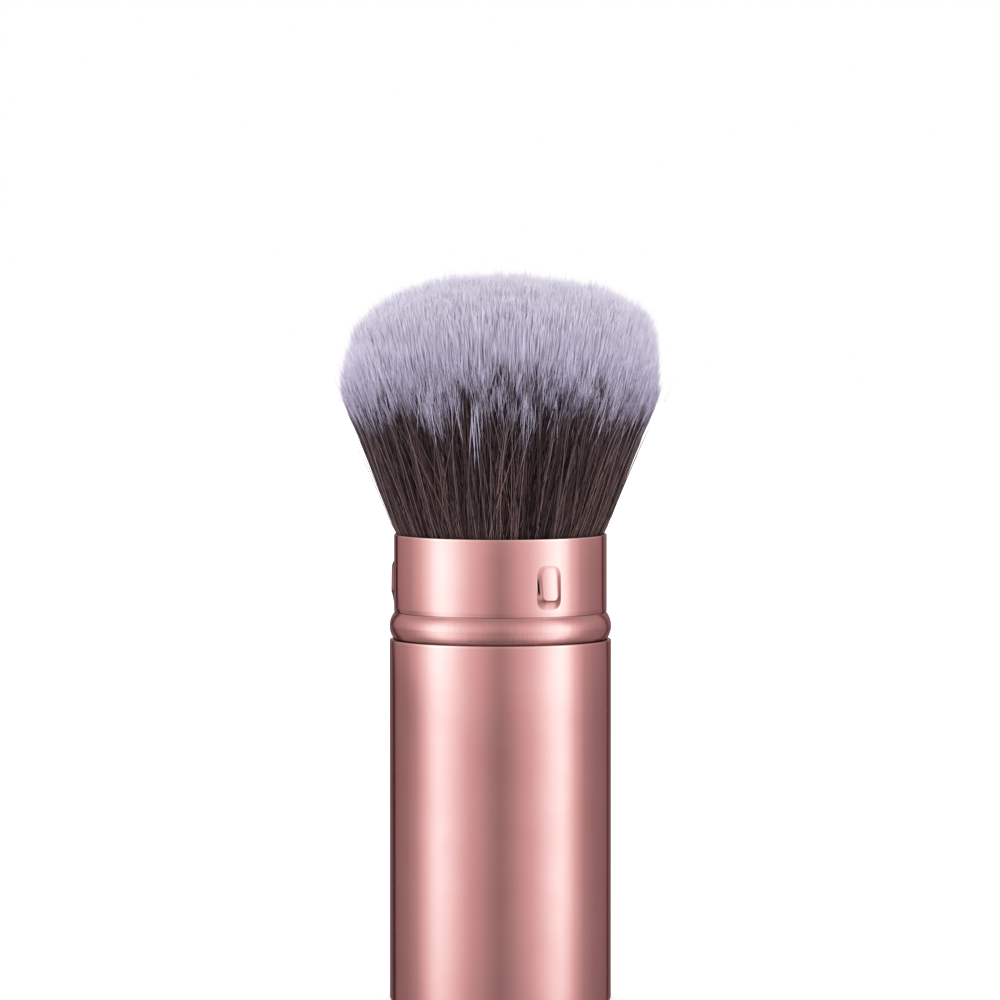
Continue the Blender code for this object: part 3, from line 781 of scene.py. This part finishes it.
def dome_height(disc):
    """The height of the cut dome over each point of the unit disc."""
    across = np.clip(np.hypot(disc[..., 0], disc[..., 1]), 0, 1)
    rise = DOME_HEIGHT * (1 - across**DOME_POWER) ** DOME_ROUND
    return DOME_Z + rise + DOME_LEAN * np.sign(disc[..., 0]) * disc[..., 0] ** 4


def tip_height(disc):
    """Where the hairs of the fan that leave at points of the unit disc meet the dome, by halving."""
    low = np.full(len(disc), DOME_Z - SEARCH_DROP)
    high = np.full(len(disc), DOME_Z + DOME_HEIGHT)
    for _ in range(HALVINGS):
        middle = (low + high) / 2
        place = disc * (outline_radius(middle) / TUFT_RADIUS)[:, None]
        inside = (np.hypot(*place.T) < 1) & (middle < dome_height(place))
        low, high = np.where(inside, middle, low), np.where(inside, high, middle)
    return low


def scatter(random, count, low, high, bias=1.0):
    """Even random points in a ring of the unit disc. A bias above 1 draws them to its outer edge."""
    share = random.random(count) ** (1 / bias)
    radius = np.sqrt(low**2 + (high**2 - low**2) * share)
    turn = random.random(count) * math.tau
    return np.stack((radius * np.sin(turn), -radius * np.cos(turn)), 1)


def nearest(points, centres, block=1000):
    """For each point, its nearest centre, found for a block of points at a time."""
    found = np.zeros(len(points), int)
    for start in range(0, len(points), block):
        part = points[start : start + block]
        far = ((part[:, None, :] - centres[None]) ** 2).sum(2)
        found[start : start + block] = far.argmin(1)
    return found


# How strongly hairs draw together into wisps, and wisps into clumps, at heights over the rim
PULL_HEIGHTS = (0.0, 0.006, 0.012, 0.0165, 0.021, 0.026, 0.034)
WISP_PULLS = (0.00, 0.00, 0.08, 0.34, 0.44, 0.40, 0.34)
CLUMP_PULLS = (0.00, 0.00, 0.04, 0.12, 0.16, 0.16, 0.12)


def grow(random, hairs, disc, low, tip, wisps, clumps):
    """Centre lines of hairs that follow the flare, drawn together, with a lean and a wave.

    Each runs from its low height to its tip height, with a point at each share of its length.
    Below the dip line the hairs sway sideways, so that they cross each other.
    """
    count = hairs.count
    lean, wave = hairs.bend
    shares = np.array(hairs.shares)
    heights = low[:, None] + (tip - low)[:, None] * shares
    drawn = 0
    for start, end, pulls in ((disc, wisps, WISP_PULLS), (wisps, clumps, CLUMP_PULLS)):
        pull = np.interp(heights - RIM_Z, PULL_HEIGHTS, pulls)
        drawn = drawn + (end - start)[:, None, :] * pull[..., None]
    drift = random.normal(0, 1, (count, 1, 2)) * lean * (shares**LEAN_POWER)[None, :, None]
    place = (disc[:, None, :] + drawn + drift) * outline_radius(heights)[..., None]
    lines = np.concatenate((place, heights[..., None]), 2)
    rooted = np.clip((DIP_Z + SWAY_RISE - heights) / (DIP_Z - FERRULE_TOP_Z), TIP_SWAY_SHARE, 1)
    wider = 1 + WIDE_SWAY * (random.random((count, 1)) < WIDE_SWAY_SHARE)
    sway = np.clip(random.normal(0, ROOT_SWAY, (count, 1)) * wider, -MOST_SWAY, MOST_SWAY) * rooted
    phase = random.random((count, 1)) * math.tau
    turns = random.uniform(*RIPPLE_TURNS, (count, 1)) * math.tau
    ripple = random.normal(0, wave, (count, 1)) * np.sin(phase + turns * shares)
    return turn_about_axis(lines, sway + ripple)


def hair_mesh_data(random, lines, radii, tones, dips):
    """Points, faces and map places of closed, three-sided hairs that taper to a point."""
    count, rings = lines.shape[:2]
    along = np.gradient(lines, axis=1)
    along /= np.linalg.norm(along, axis=2, keepdims=True)
    side = np.cross(along, np.array((0.0, 1.0, 0.0)) + 0 * along)
    side /= np.linalg.norm(side, axis=2, keepdims=True)
    other = np.cross(along, side)
    spin = random.random(count)[:, None, None, None] * math.tau
    turn = spin + np.arange(3)[None, None, :, None] * math.tau / 3
    around = np.cos(turn) * side[:, :, None, :] + np.sin(turn) * other[:, :, None, :]
    body = lines[:, : rings - 1, None, :] + around[:, : rings - 1] * radii[:, : rings - 1, None, None]
    points = np.concatenate((body.reshape(count, -1, 3), lines[:, -1:, :]), 1)
    each = (rings - 1) * 3 + 1
    tip = each - 1
    corners, across, level = [], [], []
    for ring in range(rings - 2):
        for k in range(3):
            a, b = ring * 3 + k, ring * 3 + (k + 1) % 3
            corners += [(a, b, b + 3), (a, b + 3, a + 3)]
            across += [(k, k + 1, k + 1), (k, k + 1, k)]
            level += [(ring, ring, ring + 1), (ring, ring + 1, ring + 1)]
    last = (rings - 2) * 3
    for k in range(3):
        corners.append((last + k, last + (k + 1) % 3, tip))
        across.append((k, k + 1, k + 0.5))
        level.append((rings - 2, rings - 2, rings - 1))
    corners.append((2, 1, 0))
    across.append((2, 1, 0))
    level.append((0, 0, CAP_RISE))
    faces = np.array(corners)[None] + (np.arange(count) * each)[:, None, None]
    across = np.array(across, float)[None] / 3
    u = (tones[:, None, None] * (TONES - 1) + TONE_PLACES[0] + TONE_PLACES[1] * across) / TONES
    level = np.array(level, float)
    first = np.floor(level).astype(int)
    rise = lines[:, :, 2]
    extra = (level - first) * (rise[:, 1] - rise[:, 0])[:, None, None]
    v = map_height(rise[:, first] + extra - dips[:, None, None])
    places = np.stack((u + 0 * v, v), 3)
    return points, faces, places


def core_mesh_data(middle, half):
    """One lock's wedge of the tuft's core, below the crown and behind the outer hairs."""
    across, up, around = CORE_STEPS
    shares = np.linspace(CORE_SHARE, 0.0, across)
    tops = tip_height(np.stack((-shares, 0 * shares), 1)) - CORE_DROP
    heights = np.linspace(FERRULE_TOP_Z, tops[0], up)
    profile = [(CORE_SHARE * outline_radius(height), height) for height in heights[:-1]]
    profile += list(zip(shares * outline_radius(tops), tops)) + [(0.0, FERRULE_TOP_Z)]
    turns = np.linspace(middle - half, middle + half, around)
    made = bmesh.new()
    columns = [[made.verts.new(on_circle(turn, *point)) for point in profile] for turn in turns]
    count = len(profile)
    for left, right in zip(columns, columns[1:]):
        for i in range(count):
            after = (i + 1) % count
            made.faces.new((left[i], right[i], right[after], left[after]))
    made.faces.new(columns[0])
    made.faces.new(columns[-1])
    bmesh.ops.remove_doubles(made, verts=made.verts, dist=WELD)
    bmesh.ops.triangulate(made, faces=made.faces)
    bmesh.ops.recalc_face_normals(made, faces=made.faces)
    made.verts.index_update()
    points = np.array([vert.co for vert in made.verts])
    faces = np.array([[vert.index for vert in face.verts] for face in made.faces])
    made.free()
    return points, faces


def triangle_mesh(name, points, faces, places):
    """A smooth mesh of triangles with its map."""
    mesh = bpy.data.meshes.new(name)
    mesh.vertices.add(len(points))
    mesh.vertices.foreach_set("co", points.astype(np.float32).ravel())
    mesh.loops.add(3 * len(faces))
    mesh.loops.foreach_set("vertex_index", faces.astype(np.int32).ravel())
    mesh.polygons.add(len(faces))
    mesh.polygons.foreach_set("loop_start", np.arange(0, 3 * len(faces), 3, dtype=np.int32))
    mesh.update(calc_edges=True)
    layer = mesh.uv_layers.new(name="OFBake")
    layer.uv.foreach_set("vector", places.astype(np.float32).ravel())
    mesh.shade_smooth()
    mesh.validate()
    return mesh


def dip_line(disc):
    """How high the dye reaches on hairs at points of the unit disc: lower at the sides."""
    return DIP_Z - DIP_SAG * disc[:, 0] ** 2 / (disc**2).sum(1)


def widths(hairs, scale=1.0):
    """Radii along each hair: full ones, then narrowing to a fine end."""
    start, end = hairs.taper
    return hairs.radius * scale * np.interp(hairs.shares, (0, start, 1), (1, 1, end))[None]


def odd_dips(random, count):
    """How far the dye strays on odd hairs: mostly a little, now and then a lot."""
    return np.minimum(random.exponential(ODD_DIP, count), MOST_ODD_DIP)


def outer_hairs(random, centres, clump_dips, clump_tips):
    """The hairs round the core, in wisps and clumps that share a tone, a dye height and an end."""
    count = OUTER.count
    wisps = scatter(random, WISPS, *OUTER.ring)
    clump_of = nearest(wisps, centres)
    odd = random.choice(ODD_WISPS, WISPS)
    wisp_dips = random.normal(0, WISP_DIP_SPREAD, WISPS)
    # Painted shade: the dark part reaches higher on wisps deeper inside the tuft
    wisp_dips += DEEP_SHADE_DIP * np.clip((1 - np.hypot(*wisps.T)) / DEEP_SHADE_REACH, 0, 1)
    wisp_dips += clump_dips[clump_of] + odd * odd_dips(random, WISPS)
    wisp_tones = random.normal(0, WISP_TONE_SPREAD, WISPS)
    disc = scatter(random, count, *OUTER.ring)
    wisp = nearest(disc, wisps)
    clump = clump_of[wisp]
    tip = tip_height(disc) + random.normal(0, TIP_SPREAD, count) + clump_tips[clump]
    low = np.full(count, ROOT_Z)
    lines = grow(random, OUTER, disc, low, tip, wisps[wisp], centres[clump])
    radii = widths(OUTER, random.uniform(*WIDTH_RANGE, (count, 1)))
    facing = disc[:, 1] ** 2 / (disc**2).sum(1)
    tones = random.beta(*OUTER.tones, count) + wisp_tones[wisp]
    # At the sides the odd tones, with their painted highlight and shade, are held nearer the common
    # tone
    contrast = SIDE_TONES[0] + SIDE_TONES[1] * facing
    tones = np.clip(COMMON_TONE + (tones - COMMON_TONE) * contrast, LEAST_TONE, 1)
    uneven = wisp_dips[wisp] + random.normal(0, HAIR_DIP_SPREAD, count)
    odd = random.random(count) < ODD_HAIR_SHARE
    uneven += odd * odd_dips(random, count)
    return lines, radii, tones, dip_line(disc) + uneven * (SIDE_DIPS[0] + SIDE_DIPS[1] * facing)


def crown_hairs(random, clump_tips):
    """The ends of the hairs over the core, in clumps."""
    count = CROWN.count
    disc = scatter(random, count, *CROWN.ring)
    centres = scatter(random, CLUMPS, 0.0, CORE_SHARE)
    clump = nearest(disc, centres)
    tip = tip_height(disc) + random.normal(0, TIP_SPREAD, count) + clump_tips[clump]
    low = tip - CROWN_LENGTH * random.uniform(*CROWN_LENGTHS, count)
    lines = grow(random, CROWN, disc, low, tip, disc, centres[clump])
    radii = widths(CROWN, random.uniform(*WIDTH_RANGE, (count, 1)))
    tones = random.beta(*CROWN.tones, count)
    return lines, radii, tones, DIP_Z + random.normal(0, DIP_SPREAD, count)


def stray_hairs(random):
    """Thin hairs at the outside that wave more than the rest."""
    count = STRAY.count
    disc = scatter(random, count, *STRAY.ring)
    tip = tip_height(disc * STRAY_TIP_SHARE) + random.normal(0, 2 * TIP_SPREAD, count)
    lines = grow(random, STRAY, disc, np.full(count, ROOT_Z), tip, disc, disc)
    lines[..., :2] *= 1 + STRAY_SPREAD * np.array(STRAY.shares)[None, :, None]
    tones = random.uniform(*STRAY.tones, count)
    dips = dip_line(disc) + random.normal(0, 1.5 * DIP_SPREAD, count)
    return lines, widths(STRAY), tones, dips


def rim_hairs(random):
    """Short, thin hairs that lean sideways just over the rim."""
    count = RIM.count
    disc = scatter(random, count, *RIM.ring)
    tip = RIM_Z + random.uniform(*RIM_TIPS, count)
    low = np.maximum(tip - random.uniform(*RIM_LENGTHS, count), RIM_Z - RIM_ROOT_DROP)
    lines = grow(random, RIM, disc, low, tip, disc, disc)
    shares = np.array(RIM.shares)
    lines[..., :2] *= 1 - RIM_TUCK * (1 - shares)[None, :, None] ** 2
    lines = turn_about_axis(lines, random.normal(0, RIM_SWAY, count)[:, None] * shares)
    tones = random.uniform(*RIM.tones, count)
    return lines, widths(RIM), tones, dip_line(disc)


def loose_hairs(random):
    """Hairs that stand off the tuft towards their ends."""
    count = LOOSE.count
    disc = scatter(random, count, *LOOSE.ring)
    tip = DOME_Z + random.uniform(*LOOSE_TIPS, count)
    lines = grow(random, LOOSE, disc, np.full(count, ROOT_Z), tip, disc, disc)
    spread = random.uniform(*LOOSE_SPREADS, count)[:, None] * np.array(LOOSE.shares) ** 2
    lines[..., :2] *= 1 + spread[..., None]
    tones = random.uniform(*LOOSE.tones, count)
    dips = dip_line(disc) + random.normal(LOOSE_DIP_SHIFT, 2 * DIP_SPREAD, count)
    return lines, widths(LOOSE), tones, dips


def all_hairs(random):
    """Every hair, as groups of (centre lines, radii, tones, dip heights)."""
    centres = scatter(random, CLUMPS, *CLUMP_RING)
    clump_dips = random.normal(0, WISP_DIP_SPREAD, CLUMPS)
    clump_tips = random.normal(0, 0.8 * TIP_SPREAD, CLUMPS)
    return [
        outer_hairs(random, centres, clump_dips, clump_tips),
        crown_hairs(random, clump_tips),
        stray_hairs(random),
        rim_hairs(random),
        loose_hairs(random),
    ]


def turn_about_axis(lines, angles):
    """Lines turned about the brush's axis by an angle at each of their points."""
    x, y = lines[..., 0], lines[..., 1]
    turned = lines.copy()
    turned[..., 0] = x * np.cos(angles) - y * np.sin(angles)
    turned[..., 1] = x * np.sin(angles) + y * np.cos(angles)
    return turned


def lock_of(lines):
    """Which lock each hair belongs to, by the azimuth of its middle."""
    middle = lines[:, lines.shape[1] // 2]
    turn = np.arctan2(middle[:, 0], -middle[:, 1]) % math.tau
    return (turn / math.tau * LOCKS).astype(int) % LOCKS


def make_tuft(material):
    """The tuft in locks, one piece for each."""
    random = np.random.default_rng(SEED)
    made = []
    for lines, radii, tones, dips in all_hairs(random):
        points, faces, places = hair_mesh_data(random, lines, radii, tones, dips)
        made.append((lock_of(lines), points, faces, places))
    for lock in range(LOCKS):
        middle = (lock + 0.5) * math.tau / LOCKS
        points, faces = core_mesh_data(middle, math.pi / LOCKS)
        v = map_height(points[faces][..., 2] - DIP_Z)
        u = (np.array(CORE_TONES)[None] + 0 * v) / TONES
        all_points, all_faces, all_places = [points], [faces], [np.stack((u, v), 2)]
        count = len(points)
        for owner, points, faces, places in made:
            chosen = np.flatnonzero(owner == lock)
            each = points.shape[1]
            shift = count + (np.arange(len(chosen)) - chosen) * each
            all_points.append(points[chosen].reshape(-1, 3))
            all_faces.append((faces[chosen] + shift[:, None, None]).reshape(-1, 3))
            all_places.append(places[chosen].reshape(-1, 3, 2))
            count += len(chosen) * each
        name = f"tuft_lock_{lock + 1:02d}"
        joined = [np.concatenate(part) for part in (all_points, all_faces, all_places)]
        piece = new_object(name, triangle_mesh(name, *joined))
        dress(piece, "barrel", "hair", material, "bristle_head")
        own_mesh(piece)


def dress_inner_nodes():
    """Materials for the inner pieces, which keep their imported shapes."""
    finishes = {
        "barrel_liner": moulding("lining_black", MOULDED_BLACK, roughness=0.50),
        "brush_post": moulding("post_grey", POST_GREY, roughness=0.55),
        "ferrule": anodised("plain_aluminium", ALUMINIUM, PALE_ALUMINIUM, roughness=0.28),
        "root_adhesive": cast_resin("amber_resin", AMBER, roughness=0.22),
    }
    for node, finish in finishes.items():
        paint(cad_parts[node], finish)


# Reflected studio: levels by azimuth, for its two soft strips, the dark flags and the backdrop
TENT_RADIUS = 0.110
TENT_LOW = -0.060
TENT_HIGH = 0.190
TENT_COLUMNS = 360
TENT_ROWS = 50
TENT_CAP_ROWS = 20
STRIP_AZIMUTHS = (0, 10, 20, 30, 41, 52, 62, 71, 79, 92, 109, 133)
LEFT_STRIP = (0.45, 0.58, 0.81, 1.03, 1.50, 2.08, 2.42, 2.18, 1.56, 0.86, 0.52, 0.45)
RIGHT_STRIP = (0.45, 0.58, 0.81, 1.03, 1.52, 2.15, 2.48, 1.92, 1.14, 0.60, 0.44, 0.41)
FLAG_LEVEL = 0.05
BACKDROP_LEVEL = 0.32
# The dark flags at the left and the right: where each starts and ends, on the barrel and the collar
LEFT_FLAG = ((134.0, 142.5), (140.5, 149.5))
RIGHT_FLAG = ((139.5, 144.0), (136.0, 141.0))
FLAG_FADE = 1.5
BACKDROP_FADE = 4
# How much weaker the left strip is on the barrel
BARREL_AZIMUTHS = (0, 14, 30, 50, 64, 74, 85, 97, 110, 133)
LEFT_BARREL = (1.0, 0.97, 0.92, 0.96, 0.97, 0.90, 0.82, 0.82, 0.90, 0.94)
# Below this height the wall is what the barrel reflects, and it is a little darker
BARREL_TENT_Z = 0.0425
BARREL_TENT_FADE = 0.003
BARREL_LEVEL = 0.90
# How much darker the barrel's upper end is by azimuth, where it starts, and how fast it comes in
LIP_AZIMUTHS = (-126, -116, -100, -82, -46)
LIP_SHADES = (0, 0.03, 0.14, 0.06, 0)
LIP_ELEVATION = -11
LIP_FADE = 2
BASE_LEVEL = 0.42
# How the strips and the base level fall away with elevation
FALL_ELEVATIONS = (-56, -44, -33, -26, -21, -12, -8, -5, 0, 12, 23, 35, 47, 60, 90)
STRIP_FALL = (0.08, 0.28, 0.72, 0.88, 0.95, 0.98, 0.98, 0.99, 1.0, 0.88, 0.66, 0.40, 0.20, 0.12, 0.10)
BASE_FALL = (0.52, 0.64, 0.80, 0.87, 0.885, 0.88, 0.88, 0.96, 1.0, 1.22, 1.20, 1.18, 1.10, 1.0, 0.9)
# The strips are cool, so the red share of a level falls as the level rises
RED_LEVELS = (0.75, 1.0, 1.37, 1.76, 2.4)
RED_SHARES = (1.0, 0.90, 0.78, 0.68, 0.60)


def tent_level(azimuth, elevation, height):
    """Brightness of the reflected studio at a direction, in degrees, and at a height of the wall."""
    away = np.abs(azimuth)
    left, right = (np.interp(away, STRIP_AZIMUTHS, levels) for levels in (LEFT_STRIP, RIGHT_STRIP))
    barrel = np.clip((BARREL_TENT_Z - height) / BARREL_TENT_FADE, 0, 1)
    left = left * (1 + (np.interp(away, BARREL_AZIMUTHS, LEFT_BARREL) - 1) * barrel)
    strips = np.where(azimuth < 0, left, right)
    edges = []
    for end in range(2):
        sides = [low[end] * barrel + high[end] * (1 - barrel) for low, high in (LEFT_FLAG, RIGHT_FLAG)]
        edges.append(np.where(azimuth < 0, *sides))
    flag = np.clip((away - edges[0]) / FLAG_FADE, 0, 1)
    behind = np.clip((away - edges[1]) / BACKDROP_FADE, 0, 1)
    level = strips + (FLAG_LEVEL - strips) * flag + (BACKDROP_LEVEL - FLAG_LEVEL) * behind
    near_lip = barrel * np.clip((elevation - LIP_ELEVATION) / LIP_FADE, 0, 1)
    near_lip = near_lip * np.interp(azimuth, LIP_AZIMUTHS, LIP_SHADES)
    level = level * (1 - (1 - BARREL_LEVEL) * barrel) * (1 - near_lip)
    base = np.minimum(level, BASE_LEVEL)
    glow = (level - base) * np.interp(elevation, FALL_ELEVATIONS, STRIP_FALL)
    return base * np.interp(elevation, FALL_ELEVATIONS, BASE_FALL) + glow


def make_tent():
    """A surround that only reflections see: a wall with two soft strips, closed above and below."""
    tall = TENT_HIGH - TENT_LOW
    profile = arc((0, TENT_LOW), TENT_RADIUS, -QUARTER, 0, TENT_CAP_ROWS)
    profile += [(TENT_RADIUS, TENT_LOW + tall * i / TENT_ROWS) for i in range(1, TENT_ROWS)]
    profile += arc((0, TENT_HIGH), TENT_RADIUS, 0, QUARTER, TENT_CAP_ROWS)
    tent = lathe("studio_tent", profile, columns=TENT_COLUMNS)
    x, y, z = np.array([vert.co for vert in tent.data.vertices]).T
    middle = (BARREL_TOP_Z + RIM_Z) / 2
    azimuth = np.degrees(np.arctan2(x, -y))
    elevation = np.degrees(np.arctan2(z - middle, np.hypot(x, y)))
    level = tent_level(azimuth, elevation, z)
    red = level * np.interp(level, RED_LEVELS, RED_SHARES)
    attribute = tent.data.attributes.new("glow", "FLOAT_COLOR", "POINT")
    glow = np.stack((red, level, level, np.ones_like(level)), 1)
    attribute.data.foreach_set("color", glow.astype(np.float32).ravel())
    material, tree, _ = new_material("studio_tent")
    tree.nodes.clear()
    stored = add_node(tree, "ShaderNodeAttribute", attribute_name="glow").outputs["Color"]
    light = add_node(tree, "ShaderNodeEmission", {"Color": stored})
    add_node(tree, "ShaderNodeOutputMaterial", {"Surface": light.outputs["Emission"]})
    tent.data.materials.append(material)
    for kind in ("camera", "diffuse", "transmission", "volume_scatter", "shadow"):
        setattr(tent, f"visible_{kind}", False)


# Floor and daylight. The floor's own glow, for the camera and reflections, rises with distance.
FLOOR_RADIUS = 2.0
FLOOR_SIDES = 96
FLOOR_ROUGHNESS = 0.9
FLOOR_COLOUR = (0.80, 0.80, 0.80, 1.0)
WHITE = (1, 1, 1, 1)
FLOOR_LIFT = 0.26
FAR_FLOOR_LIFT = 0.60
NEAR_RADIUS = 0.12
FAR_RADIUS = 0.40
DAYLIGHT = 1.05


def backdrop_rays(tree):
    """One for camera, glossy and transmission rays, and nothing for the rest."""
    path = add_node(tree, "ShaderNodeLightPath").outputs
    seen = combine(tree, "MAXIMUM", path["Is Camera Ray"], path["Is Glossy Ray"])
    return combine(tree, "MAXIMUM", seen, path["Is Transmission Ray"])


def make_floor():
    """A plain pale floor that shows white and keeps the brush's shadow."""
    made, tree, shader = new_material("floor")
    place = add_node(tree, "ShaderNodeTexCoord").outputs["Object"]
    far = add_node(tree, "ShaderNodeVectorMath", {0: place}, operation="LENGTH").outputs["Value"]
    glow = remap(tree, far, NEAR_RADIUS, FAR_RADIUS, FLOOR_LIFT, FAR_FLOOR_LIFT)
    lift = combine(tree, "MULTIPLY", backdrop_rays(tree), glow)
    fill(tree, shader, {"Base Color": FLOOR_COLOUR, "Roughness": FLOOR_ROUGHNESS})
    fill(tree, shader, {"Specular IOR Level": 0.0, "Emission Color": WHITE, "Emission Strength": lift})
    mesh = bpy.data.meshes.new("floor")
    disc = bmesh.new()
    bmesh.ops.create_circle(disc, cap_ends=True, segments=FLOOR_SIDES, radius=FLOOR_RADIUS)
    disc.to_mesh(mesh)
    disc.free()
    mesh.materials.append(made)
    floor = new_object("floor", mesh)
    floor.visible_glossy = False


def make_world():
    """White to the camera and to reflections, and a softer white as daylight."""
    world = bpy.data.worlds.new("studio")
    bpy.context.scene.world = world
    world.use_nodes = True
    tree = world.node_tree
    strength = remap(tree, backdrop_rays(tree), 0.0, 1.0, DAYLIGHT, 1.0)
    fill(tree, tree.nodes["Background"], {"Color": WHITE, "Strength": strength})


# Lamps: name, place, size and power
LAMPS = (
    ("key", (-0.90, -0.45, 0.55), 0.50, 3.2),
    ("fill", (0.92, -0.40, 0.40), 0.60, 2.8),
    ("top", (0.0, 0.10, 0.95), 0.50, 1.4),
)


def make_lamps():
    """Soft area lamps, aimed at the tuft and left out of reflections."""
    for name, place, size, power in LAMPS:
        data = bpy.data.lights.new(name, "AREA")
        data.size = size
        data.energy = power
        lamp = new_object(name, data)
        aim(lamp, place, (0, 0, AIM_HEIGHT))
        lamp.visible_glossy = False


def main():
    """Makes the whole scene."""
    make_camera()
    bead = (COLLAR_Z - COLLAR_DROP, COLLAR_Z + BEAD_HEIGHT)
    make_barrel(anodised("barrel_rose", ROSE, PALE_ROSE, roughness=0.15, lip=BARREL_TOP_Z))
    make_collar(anodised("collar_rose", ROSE, PALE_ROSE, roughness=0.11, lip=RIM_Z, bead=bead))
    make_slide_tube(moulding("tube_rose", TUBE_ROSE, roughness=0.30, metallic=0.9))
    make_stop_ring(moulding("ring_black", MOULDED_BLACK, roughness=0.45))
    dress_inner_nodes()
    make_tuft(hair_material("dipped_hair"))
    make_tent()
    make_floor()
    make_world()
    make_lamps()
    bpy.context.scene.view_settings.view_transform = "Standard"


main()
